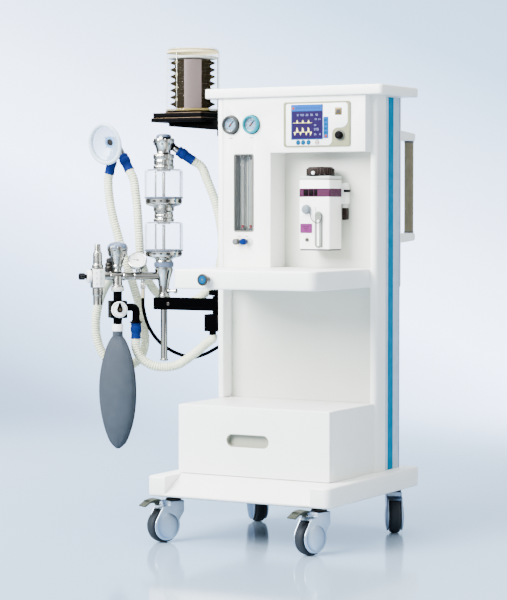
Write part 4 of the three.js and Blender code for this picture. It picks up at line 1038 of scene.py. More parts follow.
def add_flowmeter():
    x, width, bottom, top = (FLOWMETER[key] for key in ("x", "width", "bottom", "top"))
    face = HEAD - 3
    half = width / 2
    frame_shape = carved(prism(rounded(x - half, bottom, x + half, top, 6), face, HEAD - 0.3, "y", 1,
                               3),
                         prism(rounded(x - half + 3, bottom + 3, x + half - 3, top - 3, 4), face - 5,
                               HEAD + 5, "y"))
    piece("flowmeter_frame", frame_shape, FLOW_FRAME, "cabinet", "flowmeter", 40)
    left, right = x - half + 3, x + half - 3
    tub = carved(block(left - 1, right + 1, HEAD - 1, HEAD + 34, bottom + 2, top - 2, 0.4),
                 block(left + 0.4, right - 0.4, HEAD - 9, HEAD + 31, bottom + 3.4, top - 3.4, 0))
    piece("flowmeter_tub", tub, GREY_STRIP, "cabinet", slot="gauge_grey")
    # A dark steel strip along the window's left inner wall: painted shade.
    painted_side_shade = block(left + 0.5, left + 3, HEAD + 1, HEAD + 30, bottom + 4, top - 4, 0.3)
    piece("flowmeter_side_painted_shade", painted_side_shade, STEEL_DARK, "cabinet", slot="chrome_metal")
    backing = block(left + 3, right - 1, HEAD + 26, HEAD + 30, bottom + 4, top - 4, 0.4)
    piece("flowmeter_backing", backing, FLOW_BACK, "cabinet", slot="offwhite_plastic")
    for name, offset, edge in (("left", -9, INK), ("right", 19, CYAN)):
        centre = x + offset
        sleeve = block(centre - 9, centre + 9, HEAD + 8, HEAD + 20, bottom + 12, top - 10, 2.5)
        piece(f"flow_block_{name}", sleeve, clear_lens(), "cabinet", slot="clear_jar")
        tube_profile = [(4.6, bottom + 14), (5, bottom + 14), (5.4, top - 12), (4.9, top - 12)]
        tube_mesh = moved(turned(tube_profile, 24), centre, HEAD + 14)
        piece(f"flow_tube_{name}", tube_mesh, JAR_CLEAR, "cabinet", slot="clear_jar")
        line = block(centre - 8.4, centre - 7.4, HEAD + 7.4, HEAD + 8, bottom + 14, top - 12, 0)
        piece(f"flow_line_{name}", line, edge, "cabinet", slot="dark_plastic")
        ticks = []
        for index in range(23):
            z = bottom + 26 + index * 8.2
            reach = 6 if index % 2 == 0 else 3.4
            ticks.append(block(centre + 1, centre + 1 + reach, HEAD + 7.2, HEAD + 7.6, z, z + 0.8, 0))
        piece(f"flow_scale_{name}", merged(*ticks), INK, "cabinet", slot="dark_plastic")
        fitting = [(0, 0), (8, 0), (8, 7), (6, 9), (6, 13), (0, 13)]
        caps = merged(moved(turned(softened(fitting, 0.8), 24), centre, HEAD + 14, bottom + 4),
                      moved(turned(softened([(r, -z) for r, z in fitting], 0.8), 24), centre,
                            HEAD + 14, top - 4))
        piece(f"flow_caps_{name}", caps, DARK_SHELL, "cabinet", slot="dark_plastic")
        floats = moved(turned(softened([(0, 0), (3.4, 1), (4.4, 12), (4.4, 14), (0, 14)], 0.5), 20),
                       centre, HEAD + 10, bottom + 6)
        piece(f"flow_float_{name}", floats, RED, "cabinet", slot="gauge_blue")
    window = block(left + 0.3, right - 0.3, HEAD - 1.2, HEAD - 0.4, bottom + 3.3, top - 3.3, 0.2)
    piece("flowmeter_window", window, clear_lens(), "cabinet", slot="clear_jar")


FLOW_KNOB_Z = 873


def add_flow_knobs():
    ribs = 20
    outline = ring_outline(lambda angle: 9.6 - 0.6 * abs(math.sin(angle * ribs / 2)), ribs * 4)
    for side, x, material in (("left", -185, STEEL_DARK), ("right", -160, KNOB_BLUE)):
        cap = merged(prism(outline, 8, 25, "z", 0.7, 2), rod(7, 2, 9, 24), rod(2.9, -20, 3, 16))
        name = f"flow_knob_{side}"
        piece(f"{name}_cap", facing(cap, x, HEAD, FLOW_KNOB_Z), material, name, name, 40)
        disc = turned(softened([(0, 25), (7, 25), (7, 25.6), (0, 25.9)], 0.3), 32)
        piece(f"{name}_disc", facing(disc, x, HEAD, FLOW_KNOB_Z),
              FAINT_INK if side == "left" else KNOB_BLUE, name,
              slot="gauge_grey")
        plate = turned(softened([(0, 0), (12.2, 0), (12, 1.4), (0, 1.6)], 0.5), 40)
        piece(f"{name}_plate", facing(plate, x + 12, HEAD, FLOW_KNOB_Z), OFF_WHITE, "cabinet",
              slot="offwhite_plastic")
        legend = block(-5, 5, -0.8, 0.8, 0, 0.35, 0)
        piece(f"{name}_legend", facing(legend, x + 2, HEAD, FLOW_KNOB_Z + 16),
              FAINT_INK if side == "left" else CYAN,
              "cabinet", slot="gauge_grey")


MONITOR = {"left": -30, "right": 191, "bottom": 1155, "top": 1288, "proud": 5}
ENCODER_X, ENCODER_Z = 158, 1188
BUTTON_Z, MUTE_X = 1168, 84
KEY_TOP, KEY_PITCH = 1233, 12.4


def plate_outline():
    """The monitor's white face: its lower right corner gives way to the encoder in an S."""
    left, right, bottom, top = -21, 184, 1159, 1283
    lobe, waist, turn = 22, 131, 18
    outline = arc(right - 9, top - 9, 9, 90, 0, 6)
    outline += arc(right - lobe, 1232 + lobe - 22, lobe, 0, -90, 10)
    outline += arc(waist + turn + 2, 1210 - turn, turn, 90, 180, 10)
    outline += arc(waist + 2 - 16, bottom + 16, 16, 0, -90, 8)
    outline += arc(left + 7, bottom + 7, 7, 270, 180, 6)
    outline += arc(left + 7, top - 7, 7, 180, 90, 6)
    return outline


def add_monitor():
    left, right, bottom, top = (MONITOR[key] for key in ("left", "right", "bottom", "top"))
    face = HEAD - MONITOR["proud"]
    bezel = prism(rounded(left, bottom, right, top, 7), face, HEAD + 30, "y", 1.4, 3)
    recess_cut = prism(rounded(left + 5, bottom + 4, right - 5, top - 4, 5), face - 2, face + 1.2, "y")
    piece("monitor_bezel", carved(bezel, recess_cut), BEIGE, "cabinet", "monitor", 40)
    plate = prism(plate_outline(), face - 0.2, face + 1.6, "y", 0.5, 2)
    piece("monitor_face", plate, FACE_WHITE, "cabinet", slot="monitor_plastic", smooth=60)
    add_screen(face - 0.2)
    ring = turned(softened([(12.6, 0), (16.5, 0), (16, 1.2), (13, 1.4)], 0.4), 48)
    piece("encoder_ring", facing(ring, ENCODER_X, face + 1.2, ENCODER_Z), FAINT_INK, "cabinet",
          slot="gauge_grey")
    ribs = 18
    outline = ring_outline(lambda angle: 11.6 - 0.7 * abs(math.sin(angle * ribs / 2)), ribs * 4)
    knob = merged(prism(outline, 0.6, 12, "z", 0.8, 2),
                  turned(softened([(0, 11), (10, 11), (9, 14), (4, 14.6), (0, 13.6)], 1.2), 40))
    piece("encoder_cap", facing(knob, ENCODER_X, face, ENCODER_Z), DARK, "encoder_knob",
          "encoder_knob", 40)


def patch(name, x0, x1, z0, z1, depth, material, corner=0.8, slot="gauge_blue"):
    """A thin flat piece lying on the front of the monitor."""
    outline = rounded(x0, z0, x1, z1, corner, 4)
    return piece(name, prism(outline, depth - 0.25, depth, "y"), material, "cabinet", slot=slot)


def add_screen(face):
    patch("screen_surround", -4, 103, 1176, 1280, face, SCREEN_EDGE, 1)
    patch("screen_title_bar", -1.5, 98, 1262, 1278.5, face - 0.25, SCREEN_CYAN, 1)
    patch("screen_display", -0.5, 101, 1179, 1260, face - 0.25, SCREEN, 0.6)
    patch("screen_key_column", 104, 121, 1179, 1243, face, SCREEN_CYAN, 1.5)
    front = face - 0.5
    keys = []
    key_heights = [KEY_TOP - index * KEY_PITCH for index in range(4)]
    for z in key_heights:
        keys.append(prism(rounded(106, z - 4.4, 119, z + 4.4, 2), face - 0.7, face - 0.2, "y", 0.2, 1))
    piece("screen_keys", merged(*keys), CYAN, "cabinet", slot="gauge_blue")
    marks = [prism([(108.5, z), (111.5, z + 2), (111.5, z - 2)], face - 1, face - 0.6, "y")
             for z in key_heights]
    piece("screen_key_marks", merged(*marks), KNOB_BLUE, "cabinet", slot="gauge_blue")
    lamps = [facing(turned(softened([(0, 0), (4.2, 0), (3.8, 0.8), (0, 1.1)], 0.3), 28), x,
                    front + 0.1, z)
             for x, z in ((4, 1269), (112.5, 1186))]
    piece("screen_lamps", merged(*lamps), ORANGE, "cabinet", slot="gauge_blue")
    bars = [prism(rounded(12 + 8.4 * index, 1266, 18 + 8.4 * index, 1273, 0.8), front - 0.15, front,
                  "y")
            for index in range(10)]
    piece("screen_title_marks", merged(*bars), SCREEN_EDGE, "cabinet", slot="gauge_blue")
    lit = (front - 0.2, front, "y")
    traces = []
    for x in (17, 36, 55):
        traces.append(prism([(x - 3.4, 1226), (x + 3.4, 1226), (x, 1235)], *lit))
    for x in (14, 33, 52):
        traces.append(prism([(x, 1199), (x + 1.2, 1213), (x + 4.4, 1209), (x + 6.4, 1199)], *lit))
        traces.append(prism([(x - 7, 1198), (x - 1.6, 1198), (x - 5, 1189)], *lit))
    traces.append(prism([(60, 1198), (66, 1198), (61, 1188)], *lit))
    for x0, x1, z in ((3, 66, 1225.4), (5, 66, 1198.2)):
        traces.append(prism([(x0, z), (x1, z), (x1, z + 0.7), (x0, z + 0.7)], *lit))
    piece("screen_traces", merged(*traces), TRACE, "cabinet", slot="gauge_blue")
    add_figures(front)
    button = softened([(0, 0), (7.6, 0), (7.2, 1.4), (4, 2), (0, 2.2)], 0.5)
    buttons = [facing(turned(button, 36), x, face + 0.1, BUTTON_Z) for x in (20, 37, 55)]
    piece("monitor_buttons", merged(*buttons), CYAN, "cabinet", slot="gauge_blue")
    mute = turned(softened([(0, 0), (6.6, 0), (6.2, 1.2), (0, 1.4)], 0.5), 36)
    piece("mute_button", facing(mute, MUTE_X, face + 0.1, BUTTON_Z), OFF_WHITE, "cabinet",
          slot="offwhite_plastic")
    mark = merged(block(-3.4, 3.4, -0.8, 0.8, 1.3, 1.8, 0),
                  turned([(5.2, 1.2), (6.8, 1.2), (6.8, 1.7), (5.2, 1.7), (5.2, 1.2)], 36))
    piece("mute_mark", facing(mark, MUTE_X, face + 0.1, BUTTON_Z), RED, "cabinet", slot="gauge_blue")
    outline = prism(rounded(142, 1247, 165, 1269, 2.4), face - 0.6, face + 0.4, "y", 0.2, 1)
    piece("gold_badge_edge", outline, DARK_SHELL, "cabinet", slot="dark_plastic")
    badge = prism(rounded(143.4, 1248.4, 163.6, 1267.6, 2), face - 1, face + 0.4, "y", 0.5, 2)
    piece("gold_badge", badge, GOLD, "cabinet", slot="bronze_metal")
    inset = prism(rounded(147, 1252, 160, 1264, 1.5), face - 1.4, face - 0.8, "y", 0.2, 1)
    piece("gold_badge_inset", inset, DARK_SHELL, "cabinet", slot="dark_plastic")


SEGMENTS = {"0": "abcdef", "1": "bc", "2": "abged", "3": "abgcd", "4": "fgbc", "5": "afgcd",
            "6": "afgedc",
            "7": "abc", "8": "abcdefg", "9": "abcdfg"}


def digit(character, x, z, size, front):
    """One seven-segment figure."""
    width, height, stroke = size * 0.55, size, size * 0.13
    half = height / 2
    bars = {
        "a": (0, width, height - stroke, height), "d": (0, width, 0, stroke),
        "g": (0, width, half - stroke / 2, half + stroke / 2),
        "f": (0, stroke, half, height), "b": (width - stroke, width, half, height),
        "e": (0, stroke, 0, half), "c": (width - stroke, width, 0, half),
    }
    made = []
    for name in SEGMENTS[character]:
        x0, x1, z0, z1 = bars[name]
        corners = [(x + x0, z + z0), (x + x1, z + z0), (x + x1, z + z1), (x + x0, z + z1)]
        made.append(prism(corners, front - 0.2, front, "y"))
    return made


def add_figures(front):
    made = []
    for text, x, z, size in (("12", 14, 1246, 6), ("450", 27, 1246, 6), ("20", 46, 1246, 6),
                             ("38", 61, 1246, 6), ("40", 78, 1246, 6), ("14", 74, 1233, 6),
                             ("21", 88, 1233, 5), ("80", 74, 1216, 5), ("075", 74, 1203, 7),
                             ("35", 74, 1189, 5), ("12", 89, 1189, 5)):
        for index, character in enumerate(text):
            made += digit(character, x + index * size * 0.75, z, size, front)
    piece("screen_numbers", merged(*made), TRACE_PALE, "cabinet", slot="gauge_blue")


# ---------------------------------------------------------------- vaporizer
VAPORIZER = {"x": 75, "width": 103, "front": 38, "back": 114, "bottom": 848, "top": 1069, "dial_y": 77}


def vaporizer_plan(grow=0.0, corner=5):
    x, width, front, back = (VAPORIZER[key] for key in ("x", "width", "front", "back"))
    left, right = x - width / 2 - grow, x + width / 2 + grow
    outline = arc(right - corner, front - grow + corner, corner, 0, -90, 8)
    outline += arc(left + corner, front - grow + corner, corner, -90, -180, 8)
    return outline + [(left, back), (right, back)]


def add_vaporizer():
    x, width, front, back, bottom, top = (VAPORIZER[key] for key in
                                          ("x", "width", "front", "back", "bottom", "top"))
    body = prism(vaporizer_plan(), bottom + 5, top - 12, "z", 1.6, 3, 50)
    rail = block(x - width / 2 + 6, x + width / 2 + 16, back - 2, 136.7, top - 82, top - 20, 2)
    ports = block(x - 22, x + 22, back - 8, 136.7, bottom + 90, top - 40, 1.5)
    piece("vaporizer_case", merged(body, rail, ports), WHITE, "cabinet", "vaporizer_body", 50)
    lid = prism(vaporizer_plan(0.6), top - 9, top - GAP, "z", 2.2, 3, 50)
    piece("vaporizer_lid", lid, OFF_WHITE, "cabinet", slot="offwhite_plastic")
    foot = prism(vaporizer_plan(-1.5), bottom, bottom + 4.6, "z", 1.4, 3, 50)
    piece("vaporizer_foot", foot, GREY, "cabinet", slot="gauge_grey")
    band = prism(vaporizer_plan(0.5), top - 62, top - 37, "z", 0.4, 1, 50)
    piece("vaporizer_band", band, MAGENTA, "cabinet", slot="monitor_plastic")
    for index, (x0, x1) in enumerate(((-36, -20), (-18, -3), (-1, 10))):
        glass = prism(rounded(x + x0, top - 59, x + x1, top - 40, 2), front - 1.3, front, "y", 0.4, 2)
        piece(f"vaporizer_window_{index}", glass, WINDOW_DARK, "cabinet", slot="dark_plastic")
    strip = prism(rounded(x + 3, bottom + 8, x + 26, bottom + 116, 11, 8), front - 4, front + 1, "y",
                  1, 3)
    piece("vaporizer_key_slot", strip, KEY_GREY, "cabinet", slot="gauge_grey")
    edge = block(x + 25.4, x + 27, front - 3.2, front + 0.5, bottom + 10, bottom + 106, 0.3)
    piece("vaporizer_key_edge", edge, GREY, "cabinet", slot="gauge_grey")
    arch = prism(arc(x + 14.5, bottom + 103, 10.4, 0, 180, 16), front - 4.5, front - 3, "y", 0.3, 2)
    piece("vaporizer_key_arch", arch, GREY_STRIP, "cabinet", slot="gauge_grey")
    groove = prism(rounded(x + 11, bottom + 14, x + 18, bottom + 92, 3, 6), front - 4.6, front - 3.6,
                   "y")
    piece("vaporizer_key_groove", groove, FACE_WHITE, "cabinet", slot="gauge_grey")
    collar = prism(rounded(x - 46, bottom + 103, x + 4, bottom + 132, 5), front - 2.4, front + 0.6,
                   "y", 1, 3)
    piece("filler_plate", collar, FACE_WHITE, "cabinet", slot="offwhite_plastic")
    label = prism(rounded(x - 47, bottom + 52, x - 7, bottom + 80, 3), front - 0.9, front + 0.2, "y",
                  0.3, 1)
    piece("vaporizer_label", label, MAGENTA_LIGHT, "cabinet", slot="monitor_plastic")
    lines = [block(x - 39 + 4 * row, x - 17 - 3 * row, front - 1.2, front - 0.7, z, z + 1.6, 0)
             for row, z in enumerate((bottom + 70, bottom + 65, bottom + 60))]
    piece("vaporizer_label_marks", merged(*lines), MAGENTA, "cabinet", slot="monitor_plastic")
    drain = facing(turned(softened([(0, 0), (6, 0), (6, 2.4), (4, 3), (4, 1.4), (0, 1.4)], 0.4), 28),
                   x - 24, front, bottom + 32)
    piece("vaporizer_drain", drain, STEEL_DARK, "cabinet", slot="silver_metal")
    knob_block = block(x + width / 2 + 0.6, x + width / 2 + 15, back + 1, back + 20, bottom + 91,
                       bottom + 127, 2.4)
    piece("vaporizer_side_knob", knob_block, BROWN, "cabinet", slot="dial_brown")
    shank = block(x + width / 2 + 2, x + width / 2 + 13.6, back + 2, back + 18, bottom + 125,
                  bottom + 161, 1.4)
    piece("vaporizer_side_block", shank, OFF_WHITE, "cabinet", slot="offwhite_plastic")
    add_lanyard()
    add_dial()
    add_filler_cap()
    lever_y = back + 2
    lever_x = x + width / 2 + 16 + GAP
    lever_z = top - 44
    blade = prism(rounded(lever_y - 22, lever_z - 4, lever_y + 12, lever_z + 4, 3.4), lever_x,
                  lever_x + 7.6, "x", 1.4, 3)
    piece("lock_lever_blade", blade, DARK, "vaporizer_lock_lever", "vaporizer_lock_lever", 40)


def add_dial():
    x, y, top = VAPORIZER["x"], VAPORIZER["dial_y"], VAPORIZER["top"]
    ridges = 30
    outline = ring_outline(lambda angle: 41.6 + 1.2 * math.cos(angle * ridges), ridges * 4)
    grip = prism(outline, 4, 22, "z", 1.6, 3, 60)
    crown = turned(softened([(0, 21), (39, 21), (38, 24.5), (34, 27), (12, 27), (10, 26), (0, 26)],
                            2), 64)
    piece("dial_grip", moved(merged(grip, crown), x, y, top), BROWN, "vaporizer_dial",
          "vaporizer_dial", 40)
    skirt = turned(softened([(30, 0.4), (43, 0.4), (43, 2), (41.6, 4.4), (30, 4.4)], 0.5), 72)
    piece("dial_skirt", moved(skirt, x, y, top), DARK, "vaporizer_dial", slot="dial_brown")
    ticks = []
    for index in range(11):
        tick = block(37, 41.8, -0.4, 0.4, 4.2, 4.8, 0)
        ticks.append(moved(tick, turn=205 + index * 22))
    piece("dial_marks", moved(merged(*ticks), x, y, top), FACE_WHITE, "vaporizer_dial",
          slot="offwhite_plastic")
    button = aimed(turned(softened([(0, 0), (5.4, 0), (5, 4), (3.6, 5.2), (0, 5.6)], 1), 36),
                   (-0.06, -1, 0), (x - 2.5, y - 41, top + 9))
    piece("dial_release", button, FACE_WHITE, "vaporizer_dial", slot="offwhite_plastic")


def add_filler_cap():
    x, front, z = VAPORIZER["x"] - 24, VAPORIZER["front"], VAPORIZER["bottom"] + 122
    ribs = 12
    outline = ring_outline(lambda angle: 13.6 + 0.9 * math.cos(angle * ribs), ribs * 6)
    cap = merged(prism(outline, 1, 10.6, "z", 1, 2, 60),
                 turned(softened([(0, 10), (12, 10), (10.6, 13.6), (0, 14.6)], 1.4), 40),
                 block(-9, 9, -2.2, 2.2, 13, 14.9, 1))
    piece("filler_cap_body", facing(cap, x, front - 2.4, z), CAP_GREY, "vaporizer_filler_cap",
          "vaporizer_filler_cap", 40, transform=Matrix.Translation((0, 2.2, 0)))


def add_lanyard():
    front = VAPORIZER["front"] - 6
    x, z = VAPORIZER["x"], VAPORIZER["bottom"]
    points = [(x - 12, front, z + 112), (x - 6, front - 2, z + 94), (x + 6, front - 3, z + 84),
              (x + 18, front - 3, z + 82), (x + 26, front - 2, z + 92), (x + 28, front, z + 104),
              (x + 23, front + 2.5, z + 108)]
    path = evenly(spline(points), 1.5)
    piece("filler_lanyard", swept(path, lambda distance: 1.3, 10), DARK_SHELL, "cabinet",
          slot="silver_metal")


# ---------------------------------------------------------------- ventilator bellows
BELLOWS = {"x": -388, "y": 113, "floor": 1272, "roof": 1468, "dome": 84, "radius": 64, "low": 1284,
           "high": 1432, "folds": 7}


def add_bellows():
    x, y, floor, roof, dome = (BELLOWS[key] for key in ("x", "y", "floor", "roof", "dome"))
    half = dome + 3
    body = prism(rounded(x - half - 8, y - half, x + half, y + half, 12), floor - 23, floor - 6, "z",
                 2, 3)
    gusset = [(x - 62, floor - 31), (x - 62, floor - 46), (-259.3, floor - 62), (-259.3, floor - 31)]
    bracket = prism(gusset, y - 42, y + 42, "y", 1.5, 3)
    flange = block(-267.3, -259.3, y - 60, y + 60, floor - 80, floor - 30, 1.5)
    seat = moved(turned(softened([(0, -8), (dome + 0.5, -8), (dome + 0.5, -2), (dome - 2, 0), (0, 0)],
                                 1), 72),
                 x, y, floor)
    piece("bellows_block", merged(body, bracket, flange, seat), BLACK_GLOSS, "cabinet",
          "bellows_base", 40)
    lip = prism(rounded(x - half - 13, y - half - 5, x + half + 5, y + half + 5, 12), floor - 34,
                floor - 23.4,
                "z", 2, 3)
    piece("bellows_lip", lip, BLACK_GLOSS, "cabinet", slot="black_metal")
    trims = []
    for z, grow in ((floor - 23, 3.4), (floor - 7.4, 0.4)):
        outer = prism(rounded(x - half - 8 - grow, y - half - grow, x + half + grow, y + half + grow,
                              12), z,
                      z + 1.3, "z", 0.4, 2)
        trims.append(outer)
    piece("bellows_trim", merged(*trims), BRONZE, "cabinet", slot="bronze_metal")
    pedestal = moved(turned(softened([(0, 0), (54, 0), (54, 5), (50, 7), (50, 11.7), (0, 11.7)], 1.2),
                            64),
                     x, y, floor)
    piece("bellows_pedestal", pedestal, BRONZE, "cabinet", slot="bronze_metal")
    add_dome()
    add_stack()
    disc = turned(softened([(0, 0.3), (70, 0.3), (75, 1.6), (76, 4.6), (74.6, 8), (70, 9.3),
                            (0, 9.3)], 1), 72)
    piece("bellows_plate", moved(disc, x, y, BELLOWS["high"]), OFF_WHITE, "bellows_disc",
          "bellows_disc", 40)


def add_dome():
    x, y, floor, roof, dome = (BELLOWS[key] for key in ("x", "y", "floor", "roof", "dome"))
    low = floor + GAP
    shell = [(dome - 3, low), (dome, low), (dome, roof - 16), (dome - 1.6, roof - 9),
             (dome - 6, roof - 3.6),
             (dome - 13, roof - 0.6), (dome - 20, roof), (0, roof), (0, roof - 3),
             (dome - 20, roof - 3),
             (dome - 14, roof - 4), (dome - 8, roof - 7), (dome - 4.6, roof - 11),
             (dome - 3, roof - 17)]
    piece("dome_shell", moved(turned(shell + [shell[0]], 96), x, y), DOME_CLEAR, "cabinet",
          "bellows_dome", 40)
    foot = softened([(dome - 6, low), (dome + 0.4, low), (dome + 0.4, low + 5), (dome - 3.5, low + 7),
                     (dome - 6, low)], 0.8)
    piece("dome_foot", moved(turned(foot, 96), x, y), DOME_TINT, "cabinet", slot="smoked_dome")
    start, end = -78, -40
    strip = [arc(x, y, radius, start, end, 12) for radius in (dome - 3.4, dome - 4.4)]
    piece("dome_strip", prism(strip[0] + strip[1][::-1], floor + 8, roof - 40, "z"), STRIP_CLEAR,
          "cabinet",
          slot="smoked_dome")
    lines = []
    for index in range(14):
        z = floor + 16 + index * 10.4
        ring = arc(x, y, dome - 3.2, start + 2, end - 2, 10) + arc(x, y, dome - 3.6, end - 2,
                                                                   start + 2, 10)
        lines.append(prism(ring, z, z + 0.7, "z"))
    piece("dome_scale", merged(*lines), FAINT_INK, "cabinet", slot="gauge_grey")
    pillars = []
    for angle in (-98, 22, 142):
        turn = math.radians(angle)
        spot = (x + 78 * math.cos(turn), y + 78 * math.sin(turn))
        pillars.append(moved(rod(1.6, floor, roof - 16, 20), *spot))
    piece("dome_pillars", merged(*pillars), SATIN, "cabinet", slot="chrome_metal")
    beads = [moved(rod(2.8, -4, 4, 20), x + 78 * math.cos(math.radians(-98)),
                   y + 78 * math.sin(math.radians(-98)), floor + 34 + index * 38) for index in range(4)]
    piece("dome_beads", merged(*beads), CREAM, "cabinet", slot="offwhite_plastic")
    top_band = [(dome - 2.9, roof - 17), (dome - 3.6, roof - 17), (dome - 5.2, roof - 11),
                (dome - 8.6, roof - 7.6),
                (dome - 14.4, roof - 4.6), (dome - 8, roof - 7), (dome - 4.6, roof - 11),
                (dome - 2.9, roof - 17)]
    piece("dome_top_band", moved(turned(top_band, 96), x, y), CREAM, "cabinet", slot="offwhite_plastic")


def add_stack():
    x, y, low, high, radius, folds = (BELLOWS[key] for key in ("x", "y", "low", "high", "radius",
                                                               "folds"))
    pitch = (high - low) / folds
    profile = [(0, low + 0.5)]
    for step in range(folds):
        z = low + pitch * step
        for part, reach in ((0.03, -9), (0.16, -8), (0.38, 3), (0.5, 6), (0.62, 3), (0.84, -8)):
            profile.append((radius + reach, z + pitch * part))
    profile += [(radius - 9, high - 0.4), (0, high - 0.4)]
    stack = piece("bellows_folds", moved(turned(profile, 72), x, y), RUBBER, "cabinet",
                  "bellows_stack", 50)
    anchor = in_frame(x, y, low)
    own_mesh(stack)


# ---------------------------------------------------------------- absorber arm and canisters
def add_arm():
    refined("arm_post", BLACK_PAINT, 2)
    refined("absorber_arm", BLACK_PAINT, 1.6)
    screw = turned(softened([(0, 0), (6, 0), (5.6, 2.4), (3, 2.6), (3, 1.2), (0, 1.2)], 0.5), 28)
    piece("arm_screw", aimed(screw, (0, -1, 0), (-470, 99.8, 676)), STEEL_DARK, "absorber",
          slot="chrome_metal")
    cap = moved(turned(softened([(0, 0), (12, 0), (12, 4), (9, 6), (0, 6.4)], 0.8), 36), -304, 120,
                721.5)
    piece("arm_pivot_cap", cap, CHROME, "cabinet", slot="chrome_metal")


POLE_LOW, ARM_TOP = 497, 695.5
JAR = {"radius": 60, "low": (820, 932), "high": (984, 1096), "skirt": 19}


def ringed(profile, name, material=None, replaces=(), slot="chrome_metal", sides=64):
    """A turned piece standing on the pole's axis."""
    mesh = moved(turned(profile, sides), POLE.x, POLE.y)
    piece(name, mesh, material or CHROME, "absorber", replaces, 30, None if replaces else slot)


def knurl(name, radius, low, high, ribs=28):
    """A band of grip ridges round the pole's axis."""
    outline = ring_outline(lambda angle: radius - 0.9 * (1 - abs(math.cos(angle * ribs / 2))) ** 2,
                           ribs * 4, POLE.x, POLE.y)
    piece(name, prism(outline, low, high, "z", 0.7, 2, 60), CHROME, "absorber", slot="chrome_metal",
          smooth=50)


def add_pole():
    seat = ARM_TOP + GAP
    profile = [(0, POLE_LOW), (11, POLE_LOW), (13, POLE_LOW + 1.4), (13, POLE_LOW + 4),
               (10.5, POLE_LOW + 8),
               (10.5, seat), (18, seat), (18.2, seat + 5), (16, seat + 12), (15.4, seat + 18),
               (16, 728),
               (19, 748), (24, 764), (28.5, 779), (29, 784), (27, 787), (27, 789), (30, 792),
               (30.4, 799),
               (30, 805), (27, 808), (26, 812), (30, 817), (38, 820), (48, 821.5), (55, 824), (57, 828),
               (57, 839), (0, 839)]
    ringed(profile, "pole_body", replaces="absorber_stem", sides=72)
    band = [(27.6, 790), (30.8, 792), (31, 798.5), (30.8, 805), (27.6, 807)]
    ringed(softened(band, 0.6), "pole_ring", BLUE_CAP, slot="chrome_metal")
    slot_plate = prism(rounded(POLE.x - 3, 700, POLE.x + 3, 733, 2.8), POLE.y - 17, POLE.y - 12, "y")
    piece("pole_slot", slot_plate, STEEL_DARK, "absorber", slot="chrome_metal")
    tap = merged(aimed(rod(4, 12, 40, 24), (1, 0, 0), (POLE.x, POLE.y, 716)),
                 aimed(rod(8, 40, 45.6, 28), (1, 0, 0), (POLE.x, POLE.y, 716)),
                 aimed(rod(6.4, 16, 21, 28), (1, 0, 0), (POLE.x, POLE.y, 716)))
    piece("drain_tap", tap, CHROME, "absorber", slot="chrome_metal")


def add_jar(name, span):
    low, high = span[0] + JAR["skirt"] + GAP, span[1]
    radius = JAR["radius"]
    shell = [(radius - 3, low), (radius, low), (radius, high - 9), (radius - 1, high - 5),
             (radius - 4, high - 1.6), (radius - 9, high), (22, high), (22, high - 3.6),
             (radius - 10, high - 3.6), (radius - 4.4, high - 6.6), (radius - 3, high - 11)]
    ringed(shell + [shell[0]], f"{name}_glass", JAR_CLEAR, replaces=name, sides=80)
    lip = softened([(radius - 4, low), (radius + 0.6, low), (radius + 0.6, low + 5),
                    (radius - 4, low + 7),
                    (radius - 4, low)], 0.8)
    ringed(lip, f"{name}_lip", JAR_EDGE, slot="clear_jar")
    tint = softened([(0, low - 0.2), (54, low - 0.2), (54, low + 3), (0, low + 3.4)], 1)
    ringed(tint, f"{name}_floor", BLUE_CAP, slot="chrome_metal")
    stem = [(0, low + 3), (5, low + 3), (5, high - 9), (0, high - 9)]
    ringed(softened(stem, 0.6), f"{name}_tube", SATIN)
    rods = []
    for angle in (30, 150, 270):
        turn = math.radians(angle)
        rods.append(moved(rod(1.6, low + 3, high - 5, 14),
                          POLE.x + 51 * math.cos(turn), POLE.y + 51 * math.sin(turn)))
    piece(f"{name}_tie_rods", merged(*rods), SATIN, "absorber", slot="chrome_metal")
    lid = softened([(22.4, high - 3.2), (radius - 9, high - 3.2), (radius - 9, high - 1),
                    (22.4, high - 1)], 0.6)
    ringed(lid, f"{name}_gasket", JAR_EDGE, slot="clear_jar")
    slots = []
    for index in range(16):
        turn = 22.5 * index
        mark = block(56.2, 57.6, -3.4 if index % 2 else -6, 3.4 if index % 2 else 6, span[0] + 10,
                     span[0] + 15, 0.4)
        slots.append(moved(mark, turn=turn))
    piece(f"{name}_slots", moved(merged(*slots), POLE.x, POLE.y), DARK, "absorber", slot="dark_plastic")


